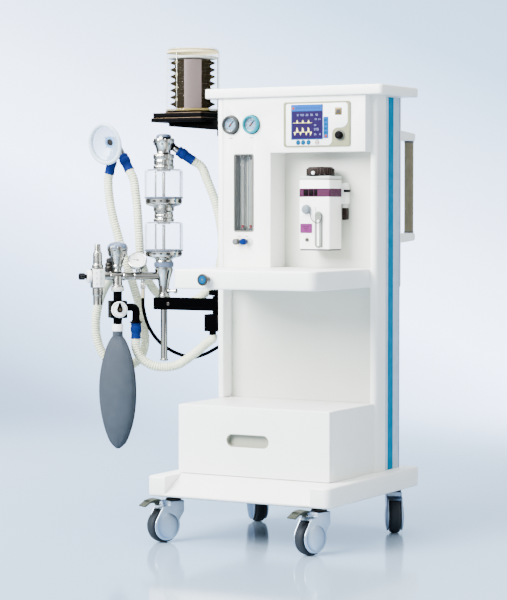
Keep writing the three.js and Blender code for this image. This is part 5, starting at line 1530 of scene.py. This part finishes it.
def add_necks():
    low = JAR["low"][1] + GAP
    high = JAR["high"][0]
    profile = [(0, low - 8), (21, low - 8), (21, low), (32, low), (32, low + 9), (29, low + 11),
               (28.4, 948),
               (27.6, 952), (29, 956), (29, 962), (32, 966), (32.4, 971), (32, 976), (36, 979),
               (46, 981.5),
               (54, 985), (57, 989), (57, high + 19), (0, high + 19)]
    ringed(profile, "neck_body", replaces="canister_neck", sides=72)
    knurl("neck_knurl", 32.2, low + 1, low + 9)
    knurl("neck_lower_knurl", 30.2, low + 13, 955, 24)
    low = JAR["high"][1] + GAP
    profile = [(0, low - 8), (21, low - 8), (21, low), (32, low), (32, low + 11), (30, low + 13),
               (29.4, 1120),
               (30, 1126), (32, 1129), (32.4, 1136), (32, 1142), (23, 1146), (22, 1150), (23.6, 1158),
               (27, 1168), (31, 1177), (33, 1183), (33.4, 1188), (31, 1191.4), (25, 1193), (23, 1197),
               (22.4, 1200), (0, 1200)]
    ringed(profile, "valve_body", replaces="top_valve", sides=72)
    knurl("valve_knurl_low", 32.4, low + 1, low + 10, 30)
    knurl("valve_knurl_mid", 31, low + 15, 1125, 26)
    knurl("valve_knurl_high", 32.8, 1130, 1141, 30)
    cap = softened([(0, 1193), (24, 1193), (23.4, 1200), (19, 1204), (12, 1205.8), (0, 1206)], 1.5)
    ringed(cap, "valve_cap", BLUE_CAP)
    lobes = []
    for index in range(8):
        lobes.append(moved(block(30.6, 34, -4.6, 4.6, 1176, 1190, 1.6), turn=45 * index))
    piece("valve_lobes", moved(merged(*lobes), POLE.x, POLE.y), CHROME, "absorber", slot="chrome_metal")
    notches = [moved(block(30, 31.8, -2.6, 2.6, 1171, 1175, 0.6),
                     turn=45 * index + 22) for index in range(8)]
    piece("valve_notches", moved(merged(*notches), POLE.x, POLE.y), DARK, "absorber",
          slot="dark_plastic")


def cuff(name, spot, direction, start, end, material=None, slot="gauge_blue", parent="absorber"):
    """A soft blue hose cuff with a raised grip, along a direction from a place."""
    length = end - start
    profile = [(12, 0), (15, 0), (16, 2), (16, 8), (14.6, 10), (16.6, 12), (17, 16), (17, 24),
               (16.4, 27),
               (15, 30), (15, length - 4), (16.4, length - 3), (16.4, length), (12, length), (12, 0)]
    mesh = aimed(turned(softened(profile, 1), 48), direction, Vector(spot) + Vector(direction) * start)
    ribs = []
    for index in range(10):
        rib = block(15.6, 17.2, -1, 1, 13, 25, 0.5)
        ribs.append(moved(rib, turn=36 * index))
    grips = aimed(merged(*ribs), direction, Vector(spot) + Vector(direction) * start)
    return piece(name, merged(mesh, grips), material or CUFF_BLUE, parent, slot=slot, smooth=50)


def add_ports():
    neck = aimed(turned(softened([(0, -30), (9.5, -30), (10, -8), (11, -6), (11, 10), (0, 10)], 1), 40),
                 TOP_DIRECTION, TOP_PORT)
    piece("valve_port", neck, CHROME, "absorber", slot="chrome_metal")
    sleeve = aimed(turned(softened([(11.2, -20), (12.6, -20), (12.6, -10), (11.2, -10)], 0.4), 40),
                   TOP_DIRECTION, TOP_PORT)
    piece("valve_port_sleeve", sleeve, DARK, "absorber", slot="dark_plastic")
    cuff("valve_cuff", TOP_PORT, TOP_DIRECTION, 6, 64)
    neck = aimed(turned(softened([(0, -56), (10, -56), (10.5, 2), (0, 2)], 1), 36), (-47, 30, -16),
                 SIDE_PORT)
    elbow = aimed(turned(softened([(0, -11), (8, -10), (12, -5), (12.4, 4), (12, 12), (0, 12)], 2), 36),
                  SIDE_DIRECTION, SIDE_PORT)
    piece("side_port", merged(neck, elbow), STEEL_DARK, "absorber", slot="chrome_metal")
    cuff("side_cuff", SIDE_PORT, SIDE_DIRECTION, 6, 30 + 4.5, STEEL_DARK, "chrome_metal")


# ---------------------------------------------------------------- manifold and its valves
def standing(mesh, distance, z=0.0):
    """Moves a shape built on Z to stand at a distance along the manifold."""
    spot = on_manifold(distance, z)
    return moved(mesh, spot.x, spot.y, spot.z)


def along_manifold(mesh, distance=0.0):
    return aimed(mesh, HEADING, on_manifold(distance))


def add_manifold():
    end = RELIEF - 20
    pipe = [(0, 14.4), (12.5, 14.4), (12.5, 92), (13.2, 93), (13.2, 96), (12.5, 97), (12.5, VALVE - 24),
            (14.6, VALVE - 22), (14.6, VALVE - 18), (12.6, VALVE - 16), (12.6, VALVE + 17),
            (14.6, VALVE + 19),
            (14.6, VALVE + 23), (12.5, VALVE + 25), (12.5, end), (0, end)]
    piece("manifold_tube", along_manifold(turned(softened(pipe, 0.5), 56)), CHROME, "absorber",
          "manifold_pipe", 30)
    tee = turned(softened([(0, 719), (18, 719), (19.4, 721), (19.4, 731), (17.6, 733), (14.8, 736),
                           (14.6, 763), (0, 763)], 1), 56)
    piece("manifold_tee", standing(tee, VALVE), SATIN, "absorber", slot="chrome_metal")
    ring = turned(softened([(14, 716), (19.6, 716), (20.4, 719), (20.4, 727), (19, 729.4),
                            (14, 729.4)], 0.8), 56)
    piece("manifold_tee_ring", standing(ring, VALVE), OFF_WHITE, "absorber", slot="offwhite_plastic")
    sleeve = turned(softened([(0, 687.3), (13.8, 687.3), (14, 700), (13.4, 702), (14, 704), (14, 719),
                              (0, 719)],
                             0.6), 48)
    piece("selector_sleeve", standing(sleeve, VALVE), BLACK_GLOSS, "absorber", slot="dark_plastic")
    nut = turned(softened([(0, 724), (9, 724), (9.4, 726), (9.4, 739), (8, 741), (5, 742), (5, 756),
                           (0, 756)],
                          0.6), 6)
    collar = turned(softened([(0, 739), (7.4, 740), (6, 748), (7, 750), (7, 756), (0, 756)], 0.5), 32)
    piece("gas_nut", standing(merged(nut, collar), GAS_PORT), CHROME, "absorber", slot="chrome_metal")
    ferrule = turned(softened([(0, 694.3), (6, 694.3), (6, 700), (5.4, 701), (6, 702), (6, 709),
                               (5.4, 710),
                               (6, 711), (6, 722), (5, 724), (0, 724)], 0.4), 32)
    piece("gas_ferrule", standing(ferrule, GAS_PORT), BRASS_CREAM, "absorber", slot="offwhite_plastic")


def add_relief():
    turn = 225
    half = 19.7
    body = moved(prism(rounded(-half, -20, half, 20, 3), 727, 788, "z", 1.5, 3), turn=turn)
    piece("relief_case", standing(body, RELIEF), SATIN, "absorber", "relief_block", 40)
    plate = prism(rounded(-half + 1.4, 729.5, half - 1.4, 785.5, 2), -21.2, -19.8, "y", 0.5, 2)
    plate = moved(plate, turn=turn + 180)
    piece("relief_face", standing(plate, RELIEF), FACE_WHITE, "absorber", slot="offwhite_plastic")
    strip = moved(prism(rounded(2, 731, half - 2.4, 784, 1), -21.5, -21, "y"), turn=turn + 180)
    piece("relief_strip", standing(strip, RELIEF), OFF_WHITE, "absorber", slot="offwhite_plastic")
    marks = []
    for x, z in ((-7, 774), (7, 777), (-7, 757), (7, 757), (-7, 740), (7, 741)):
        mark = turned([(1.6, 0), (2.4, 0), (2.4, 0.5), (1.6, 0.5), (1.6, 0)], 20)
        mark.transform(Matrix.Translation((x, -21.4, z)) @ Matrix.Rotation(math.pi / 2, 4, "X"))
        marks.append(moved(mark, turn=turn + 180))
    piece("relief_marks", standing(merged(*marks), RELIEF), FAINT_INK, "absorber", slot="gauge_grey")
    fitting = turned(softened([(0, 786), (17, 788.3), (17.6, 791), (17.6, 798), (15, 800), (14, 803),
                               (14.6, 806),
                               (13.4, 822), (13.6, 836), (10, 840), (9.6, 846), (9, 863), (6, 863),
                               (6, 850), (0, 850)], 0.8), 56)
    piece("relief_fitting", standing(fitting, RELIEF), SATIN, "absorber", slot="chrome_metal")
    fins = [moved(block(10, 14.4, -1.1, 1.1, 806, 834, 0.6), turn=45 * index) for index in range(8)]
    piece("relief_fins", standing(merged(*fins), RELIEF), SATIN, "absorber", slot="chrome_metal")
    lines = [turned(softened([(9, z), (9.8, z + 0.8), (9, z + 1.8)], 0.2), 40) for z in (846, 851,
                                                                                         856, 860)]
    piece("relief_barbs", standing(merged(*lines), RELIEF), STEEL_DARK, "absorber", slot="chrome_metal")
    outlet = turned(softened([(0, 735), (16.5, 735), (16.5, 706), (14.2, 702), (14, 676), (14.4, 674),
                              (10, 674),
                              (10, 690), (0, 690)], 0.8), 56)
    piece("relief_outlet", standing(outlet, RELIEF), SATIN, "absorber", slot="chrome_metal")
    slits = [moved(prism(rounded(-2, 678, 2, 700, 1.8), -14, -12, "y"), turn=turn + 180 + offset)
             for offset in (-45, 0, 45)]
    piece("relief_slits", standing(merged(*slits), RELIEF), DARK, "absorber", slot="dark_plastic")
    disc = turned(softened([(0, 0), (9, 0), (9, 20), (18, 20), (20, 22), (20, 31), (17, 34), (0, 34)],
                           1.5), 48)
    piece("relief_disc", along_manifold(disc, RELIEF), FACE_WHITE, "absorber", slot="offwhite_plastic")
    knob = turned(softened([(0, 34.3), (7, 34.3), (7, 40.3), (10.4, 41.3), (10.4, 57.6), (8.4, 59.3),
                            (0, 59.3)], 1), 40)
    piece("relief_knob_grip", along_manifold(knob, RELIEF), DARK, "relief_knob", "relief_knob", 40)
    ribs = [moved(block(9.8, 10.9, -0.8, 0.8, 43, 56, 0.4), turn=30 * index) for index in range(12)]
    piece("relief_knob_ribs", along_manifold(merged(*ribs), RELIEF), DARK_SHELL, "relief_knob",
          slot="dark_plastic")


def add_side_valve():
    stem = turned(softened([(0, 775.8), (13, 775.8), (13.4, 780), (12, 784), (14, 790), (17, 794),
                            (15.6, 799),
                            (18, 806), (20, 814), (23, 824), (27, 836), (30, 846), (30.6, 852),
                            (28, 856),
                            (0, 857)], 1), 56)
    piece("side_valve_stem", standing(stem, VALVE), SATIN, "absorber", "side_valve", 35)
    cap = turned(softened([(0, 848), (30.6, 848), (31.6, 852), (30, 859), (25, 865), (17, 869),
                           (8, 870.8),
                           (0, 871)], 2), 56)
    piece("side_valve_cap", standing(cap, VALVE), BLUE_CAP, "absorber", slot="chrome_metal")
    lobes = []
    for index in range(6):
        lobe = prism([(26, 856), (32, 856), (32, 846), (28.6, 828), (24, 822)], -7, 7, "y", 2, 3)
        lobes.append(moved(lobe, turn=60 * index + 15))
    piece("side_valve_lobes", standing(merged(*lobes), VALVE), SATIN, "absorber", slot="chrome_metal")
    lines = [moved(block(29, 31.9, -4, 4, 842, 845, 0.5), turn=60 * index - 15) for index in range(6)]
    piece("side_valve_notches", standing(merged(*lines), VALVE), STEEL_DARK, "absorber",
          slot="chrome_metal")


GAUGE_SPOT = Vector((-549, 46, 812))
GAUGE_NORMAL = Vector((0.42, -0.74, 0.52)).normalized()


def add_airway_gauge():
    spot = on_manifold(GAUGE)
    centre = GAUGE_SPOT
    stem = turned(softened([(0, 775.8), (10, 775.8), (10, 783), (8, 786), (8, 808), (0, 808)], 0.8), 36)
    case = turned(softened([(0, -16), (14, -16), (14, -12), (25, -12), (30, -8), (30, 2), (28, 4),
                            (26, 4),
                            (25.6, 1.4), (0, 1.4)], 1), 64)
    piece("airway_case", merged(moved(stem, spot.x, spot.y), aimed(case, GAUGE_NORMAL, centre)), CHROME,
          "absorber", "airway_gauge", 35)
    face = aimed(turned([(0, 1.5), (25.4, 1.5), (25.4, 2.1), (0, 2.1)], 64), GAUGE_NORMAL, centre)
    piece("airway_face", face, FACE_WHITE, "absorber", slot="offwhite_plastic")
    marks = []
    for index in range(21):
        reach = 18 if index % 5 == 0 else 20.4
        mark = block(reach, 22.6, -0.3, 0.3, 2.1, 2.4, 0)
        marks.append(moved(mark, turn=-40 + 13 * index))
    piece("airway_marks", aimed(merged(*marks), GAUGE_NORMAL, centre), INK, "absorber",
          slot="gauge_grey")
    needle = merged(prism([(-5, -0.8), (18, -0.2), (18, 0.2), (-5, 0.8)], 2.8, 3.2, "z"),
                    turned(softened([(0, 2), (2.6, 2), (2.2, 4), (0, 4.2)], 0.4), 24))
    piece("airway_needle", aimed(moved(needle, turn=200), GAUGE_NORMAL, centre), INK, "absorber",
          slot="gauge_grey")
    lens = aimed(turned([(0, 4.4), (14, 4.2), (24.8, 3.4), (24.8, 3), (0, 4)], 48), GAUGE_NORMAL,
                 centre)
    piece("airway_lens", lens, clear_lens(), "absorber", slot="clear_jar")


SELECTOR = {"top": 687, "bottom": 633, "half": 26}


def selector_shape(mesh):
    """Turns a shape built facing -Y at the origin to sit on the selector."""
    spot = on_manifold(VALVE, 0)
    return moved(mesh, spot.x, spot.y, 0, 45)


def add_selector():
    top, bottom, half = (SELECTOR[key] for key in ("top", "bottom", "half"))
    middle = (top + bottom) / 2
    body = prism(rounded(-half, -half, half, half, 4), bottom, top, "z", 2.4, 3)
    neck = turned(softened([(0, bottom - 20), (13.4, bottom - 20), (14, bottom - 4), (15, bottom - 1),
                            (15, bottom + 2), (0, bottom + 2)], 0.8), 48)
    piece("selector_case", selector_shape(merged(body, neck)), BLACK_GLOSS, "absorber",
          "selector_valve", 40)
    ring = turned(softened([(0, bottom - 41), (17, bottom - 41), (17.4, bottom - 38),
                            (17.4, bottom - 22),
                            (16, bottom - 19), (0, bottom - 19)], 1), 48)
    piece("selector_bag_collar", selector_shape(ring), FACE_WHITE, "absorber", slot="offwhite_plastic")
    plate = turned(softened([(0, half - 1), (25, half - 1), (25.4, half + 1), (24.6, half + 3.6),
                             (22, half + 4),
                             (0, half + 4)], 0.8), 64)
    piece("selector_face", selector_shape(facing(plate, 0, 0, middle)), FACE_WHITE, "absorber",
          slot="offwhite_plastic")
    line = turned([(21, half + 3.9), (22.2, half + 3.9), (22.2, half + 4.3), (21, half + 4.3),
                   (21, half + 3.9)], 64)
    piece("selector_ring_line", selector_shape(facing(line, 0, 0, middle)), FAINT_INK, "absorber",
          slot="gauge_grey")
    add_selector_lever(half + 4 + GAP, middle)
    add_elbow(top, bottom, half)


def add_selector_lever(start, middle):
    outline = arc(0, 0, 9, 170, 370, 18) + [(6.4, 8), (2.2, 20), (0.6, 22.8), (-0.6, 22.8),
                                            (-2.2, 20), (-6.4, 8)]
    blade = prism([(x, middle + z) for x, z in outline], -start - 6.6, -start, "y", 1.4, 3)
    piece("selector_pointer", selector_shape(blade), BLACK_GLOSS, "selector_lever", "selector_lever",
          45)
    boss = turned(softened([(0, start + 5), (4.6, start + 5), (4.6, start + 7.2), (0, start + 7.6)],
                           0.6), 32)
    piece("selector_boss", selector_shape(facing(boss, 0, 0, middle)), BRONZE, "selector_lever",
          slot="bronze_metal")


def add_elbow(top, bottom, half):
    knee = SELECTOR_ELBOW
    height = top - 21
    bend = [(half - 4, 0, height), (half + 8, 0, height), (knee - 12, 0, height),
            (knee - 4, 0, height - 3),
            (knee, 0, height - 11), (knee, 0, bottom - 4), (knee, 0, bottom - 12)]
    path = evenly(spline(bend, 2), 1.5)
    piece("elbow_tube", selector_shape(swept(path, lambda distance: 12, 32)), BLACK_GLOSS, "absorber",
          slot="dark_plastic", smooth=60)
    rim = bottom - 16
    collar = moved(turned(softened([(0, rim), (19.4, rim), (20, rim + 1.4), (20, rim + 4),
                                    (13.4, rim + 6),
                                    (13, rim + 9), (0, rim + 9)], 0.8), 48), knee)
    piece("elbow_collar", selector_shape(collar), BLACK_GLOSS, "absorber", slot="dark_plastic")
    spot = on_manifold(VALVE, rim - 6) - HEADING * knee
    skirt = turned(softened([(0, -14), (14, -14), (14, 6.4), (0, 6.4)], 0.8), 40)
    piece("elbow_skirt", moved(skirt, spot.x, spot.y, spot.z), BLACK_GLOSS, "absorber",
          slot="dark_plastic")
    cuff("elbow_cuff", (spot.x, spot.y, rim + 4), (0, 0, -1), 4, rim + 4 - CUFF_END, CUFF_LIGHT)


# ---------------------------------------------------------------- bag, mask and Y-piece
BAG = {"top": 583, "bottom": 226, "radius": 64.5, "flat": 0.6, "neck": 15.4, "tail": 6.4}


def add_bag():
    spot = on_manifold(VALVE, 0)
    top, bottom, radius, flat, neck, tail = (BAG[key] for key in
                                             ("top", "bottom", "radius", "flat", "neck", "tail"))
    mesh = bmesh.new()
    sides, rings = 72, 90
    loops = []
    for ring in range(rings + 1):
        part = ring / rings
        swell = math.sqrt(math.sin(math.pi * part)) if 0 < part < 1 else 0
        wide = max(radius * swell, tail + (neck - tail) * part)
        depth = max(wide * flat, tail + (neck - tail) * part)
        soft = min(1, swell * 1.4)
        loop = []
        for side in range(sides):
            angle = 2 * math.pi * side / sides
            seam = 0.035 * soft * math.exp(-(math.sin(angle) / 0.09) ** 2)
            fold = 1 + 0.010 * soft * math.sin(3 * angle + part * 7) + 0.006 * math.sin(7 * angle - part * 5)
            pucker = 1 + 0.05 * (1 - soft) * math.cos(9 * angle)
            reach = fold * pucker * (1 + seam)
            loop.append(mesh.verts.new((wide * math.cos(angle) * reach, depth * math.sin(angle) * reach,
                                        bottom + (top - bottom) * part)))
        loops.append(loop)
    for low, high in zip(loops, loops[1:]):
        for side in range(sides):
            after = (side + 1) % sides
            mesh.faces.new((low[side], low[after], high[after], high[side]))
    mesh.faces.new(loops[0])
    mesh.faces.new(loops[-1])
    bmesh.ops.recalc_face_normals(mesh, faces=mesh.faces)
    moved(mesh, spot.x, spot.y)
    bag = piece("bag_body", mesh, BAG_RUBBER, "absorber", "breathing_bag", 80)
    seam = []
    for sign in (-1, 1):
        edge = []
        for ring in range(4, rings - 1):
            part = ring / rings
            wide = max(radius * math.sqrt(math.sin(math.pi * part)), tail + (neck - tail) * part)
            edge.append(Vector((sign * wide * 1.02, 0, bottom + (top - bottom) * part)))
        seam.append(swept(evenly(edge, 4), lambda distance: 2.1, 10))
    piece("bag_seam", moved(merged(*seam), spot.x, spot.y), BAG_SEAM, "absorber", slot="grey_rubber",
          smooth=60)
    collar = [(0, top - 4), (15.6, top - 4), (16.4, top - 2), (15.4, top + 0.5), (16.4, top + 3),
              (15.4, top + 5.5), (16.2, top + 8.6), (0, top + 8.6)]
    piece("bag_neck", moved(turned(softened(collar, 0.6), 48), spot.x, spot.y), BAG_RUBBER, "absorber",
          slot="grey_rubber")
    nib = [(0, bottom), (5.4, bottom), (6.8, bottom + 2), (6.8, bottom + 10), (0, bottom + 10)]
    piece("bag_tail", moved(turned(softened(nib, 1), 36), spot.x, spot.y), BAG_SEAM, "absorber",
          slot="grey_rubber")


MASK = {"centre": (-677, 60, 1176), "lean": 0.18, "wide": 1.12, "tall": 1.24}
MASK_TURN = Matrix.Rotation(MASK["lean"] - math.pi / 2, 4, "X")
MASK_PLACE = Matrix.Translation(MASK["centre"]) @ MASK_TURN


def mask_shape(profile, sides=72):
    """Turns a profile into the mask's egg: wide below, narrow above, open towards the front."""
    mesh = turned(profile, sides)
    for vertex in mesh.verts:
        vertex.co.x *= MASK["wide"]
        vertex.co.y *= MASK["tall"]
        y = vertex.co.y
        vertex.co.x *= 1 - 0.16 * (y / 68) ** 2 if y < 0 else 1 + 0.04 * (y / 68) ** 2
    mesh.transform(MASK_PLACE)
    return mesh


def add_mask():
    dome = [(11.4, 44), (13.6, 44), (14.4, 36), (16, 30), (21, 26), (29, 22), (37, 15), (43, 8.6),
            (44.6, 4),
            (42.6, 3.4), (37, 9.6), (28, 17.6), (20, 22), (14, 26), (11.6, 32), (11.4, 44)]
    piece("mask_shell", mask_shape(dome), MASK_SOFT, "absorber", "face_mask", 60)
    rim = [(44, 7.6), (48, 8), (52, 5.6), (54.4, 1.6), (54, -2.6), (51, -5.4), (47, -5.6), (44.4, -3),
           (44, 0), (46, 1), (48, -1.4), (50.4, -1), (51.4, 1.4), (50, 4), (46.6, 5.2), (44, 4.4),
           (44, 7.6)]
    piece("mask_rim", mask_shape(rim, 96), MASK_RIM, "absorber", slot="mask_silicone", smooth=60)
    ring = turned(softened([(11.6, 27), (18, 27), (18.6, 29), (18, 31), (11.6, 31)], 0.6), 48)
    hooks = [moved(prism(rounded(16, -2, 25, 2, 1.8), 28, 30.4, "z", 0.5, 2), turn=90 * index + 45)
             for index in range(4)]
    piece("mask_hook_ring", merged(ring, *hooks), RING_BLUE, "absorber", slot="mask_silicone",
          transform=MASK_PLACE)
    bore = turned(softened([(0, 30), (10.8, 30), (11, 32), (11, 45.6), (0, 45.6)], 0.5), 40)
    piece("mask_socket", bore, STEEL_DARK, "absorber", slot="chrome_metal", transform=MASK_PLACE)


def add_y_piece():
    stub = turned(softened([(0, -15.6), (11.6, -15.6), (12, -13), (12, -3), (10, 2), (0, 4)], 1), 40)
    stub.transform(Matrix.Translation(Y_CENTRE) @ MASK_TURN)
    limbs = []
    for direction in (Y_LEFT, Y_RIGHT):
        limb = turned(softened([(0, -6), (8.6, -5), (10, 0), (9.6, 30), (10.4, 32), (10.4, 54),
                                (0, 54)], 1), 36)
        limbs.append(aimed(limb, direction, Y_CENTRE))
    body = piece("y_body", merged(stub, *limbs), CHROME, "absorber", "y_piece", 40)
    cuffs = [cuff(f"y_cuff_{name}", Y_CENTRE, direction, *Y_CUFF)
             for name, direction in (("left", Y_LEFT), ("right", Y_RIGHT))]
    return [body, *cuffs]


# ---------------------------------------------------------------- studio
def add_studio():
    radius = 9
    mesh = bmesh.new()
    bmesh.ops.create_circle(mesh, cap_ends=True, segments=96, radius=radius)
    floor = loose_object("floor", mesh)
    material = new_material("studio_floor", (0.27, 0.37, 0.50), 0.10, Specular_IOR_Level=0.4)
    distance = node(material, "ShaderNodeVectorMath", operation="LENGTH")
    place = node(material, "ShaderNodeTexCoord")
    # Painted shade: the floor runs from darker on the camera's left to lighter on its right.
    across = node(material, "ShaderNodeVectorMath", operation="DOT_PRODUCT")
    across.inputs[1].default_value = (*PAINTED_LIGHT_ACROSS, 0)
    link(material, place.outputs["Object"], across.inputs[0])
    shade = node(material, "ShaderNodeMapRange")
    shade.inputs["From Min"].default_value = -0.9
    shade.inputs["From Max"].default_value = 0.9
    link(material, across.outputs["Value"], shade.inputs["Value"])
    tones = node(material, "ShaderNodeMix", data_type="RGBA")
    tones.inputs[6].default_value = (0.20, 0.29, 0.40, 1)
    tones.inputs[7].default_value = (0.36, 0.47, 0.60, 1)
    link(material, shade.outputs["Result"], tones.inputs[0])
    link(material, tones.outputs[2], shader_of(material).inputs["Base Color"])
    fade = node(material, "ShaderNodeMapRange")
    fade.interpolation_type = "SMOOTHERSTEP"
    fade.inputs["From Min"].default_value = 1.2
    fade.inputs["From Max"].default_value = 4.5
    fade.inputs["To Min"].default_value = 1
    fade.inputs["To Max"].default_value = 0
    link(material, place.outputs["Object"], distance.inputs[0])
    link(material, distance.outputs["Value"], fade.inputs["Value"])
    link(material, fade.outputs["Result"], shader_of(material).inputs["Alpha"])
    floor.data.materials.append(material)
    floor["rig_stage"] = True
    world = bpy.data.worlds.new("studio")
    bpy.context.scene.world = world
    world.use_nodes = True
    tree = world.node_tree
    background = tree.nodes["Background"]
    direction = tree.nodes.new("ShaderNodeTexCoord")
    add_sky(tree, direction, background)
    add_light("key", (-1700, -3300, 2900), (0, 0, 750), 2.6, 980)
    add_light("top", (-300, -300, 3600), (0, 0, 0), 2.6, 240)
    add_light("back", (-2600, 2600, 2600), (0, 0, 900), 2.5, 110)
    add_light("right", (2600, -600, 1800), (0, 0, 800), 2.5, 35)


def add_sky(tree, direction, background):
    """A pale room: a bright, slanting glow on the wall across from the camera, plain and dimmer elsewhere."""
    toward = math.radians(CAMERA["azimuth"])
    aim = direction.outputs["Generated"]
    lobe = dot_product(tree, aim, (-math.sin(toward), math.cos(toward), 0))
    part = tree.nodes.new("ShaderNodeMapRange")
    part.interpolation_type = "SMOOTHSTEP"
    part.inputs["From Min"].default_value = GLOW["edge"]
    part.inputs["From Max"].default_value = GLOW["full"]
    tree.links.new(lobe.outputs["Value"], part.inputs["Value"])
    slant = GLOW["slant"]
    height = dot_product(tree, aim, (slant * math.cos(toward), slant * math.sin(toward), 1))
    place = tree.nodes.new("ShaderNodeMapRange")
    place.inputs["From Min"].default_value = -0.2
    place.inputs["From Max"].default_value = 0.2
    tree.links.new(height.outputs["Value"], place.inputs["Value"])
    ramp = tree.nodes.new("ShaderNodeValToRGB")
    elements = ramp.color_ramp.elements
    elements[1].position, elements[1].color = GLOW_STOPS[-1][0], (*GLOW_STOPS[-1][1], 1)
    elements[0].position, elements[0].color = GLOW_STOPS[0][0], (*GLOW_STOPS[0][1], 1)
    for position, color in GLOW_STOPS[1:-1]:
        elements.new(position).color = (*color, 1)
    tree.links.new(place.outputs["Result"], ramp.inputs["Fac"])
    blend = tree.nodes.new("ShaderNodeMix")
    blend.data_type = "RGBA"
    blend.clamp_result = False
    blend.inputs[6].default_value = (*GLOW["room"], 1)
    tree.links.new(part.outputs["Result"], blend.inputs[0])
    tree.links.new(ramp.outputs["Color"], blend.inputs[7])
    tree.links.new(blend.outputs[2], background.inputs["Color"])
    background.inputs["Strength"].default_value = GLOW["strength"]


def dot_product(tree, source, vector):
    product = tree.nodes.new("ShaderNodeVectorMath")
    product.operation = "DOT_PRODUCT"
    product.inputs[1].default_value = vector
    tree.links.new(source, product.inputs[0])
    return product


def add_light(name, spot, target, size, power):
    light = bpy.data.lights.new(name, "AREA")
    light.size = size
    light.energy = power
    made = bpy.data.objects.new(name, light)
    bpy.context.scene.collection.objects.link(made)
    made.location = in_frame(*spot)
    aim = in_frame(*target) - made.location
    made.rotation_euler = aim.to_track_quat("-Z", "Y").to_euler()


def declare_cords(hoses):
    hose, path, length = hoses["inspiratory"]
    tuple(path[-1])
    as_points(path)
    for name, end in (("expiratory", -1), ("ventilator", 0), ("gas", 0)):
        hose, path, length = hoses[name]
        tuple(path[end])
        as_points(path)


# ---------------------------------------------------------------- making the machine
add_camera()
hoses = add_hoses()
add_base()
for caster_corner in CASTER_TURNS:
    add_caster(caster_corner)
add_cabinet()
for gauge_side in GAUGES:
    add_gauge(gauge_side)
add_flowmeter()
add_flow_knobs()
add_monitor()
add_vaporizer()
add_bellows()
add_arm()
add_pole()
add_jar("canister_lower", JAR["low"])
add_jar("canister_upper", JAR["high"])
add_necks()
add_ports()
add_manifold()
add_relief()
add_side_valve()
add_airway_gauge()
add_selector()
add_bag()
circuit = add_y_piece()
add_mask()
declare_cords(hoses)
add_studio()

boxes = [[list(corner) for corner in bounds] for bounds in (cad_bounds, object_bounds())]
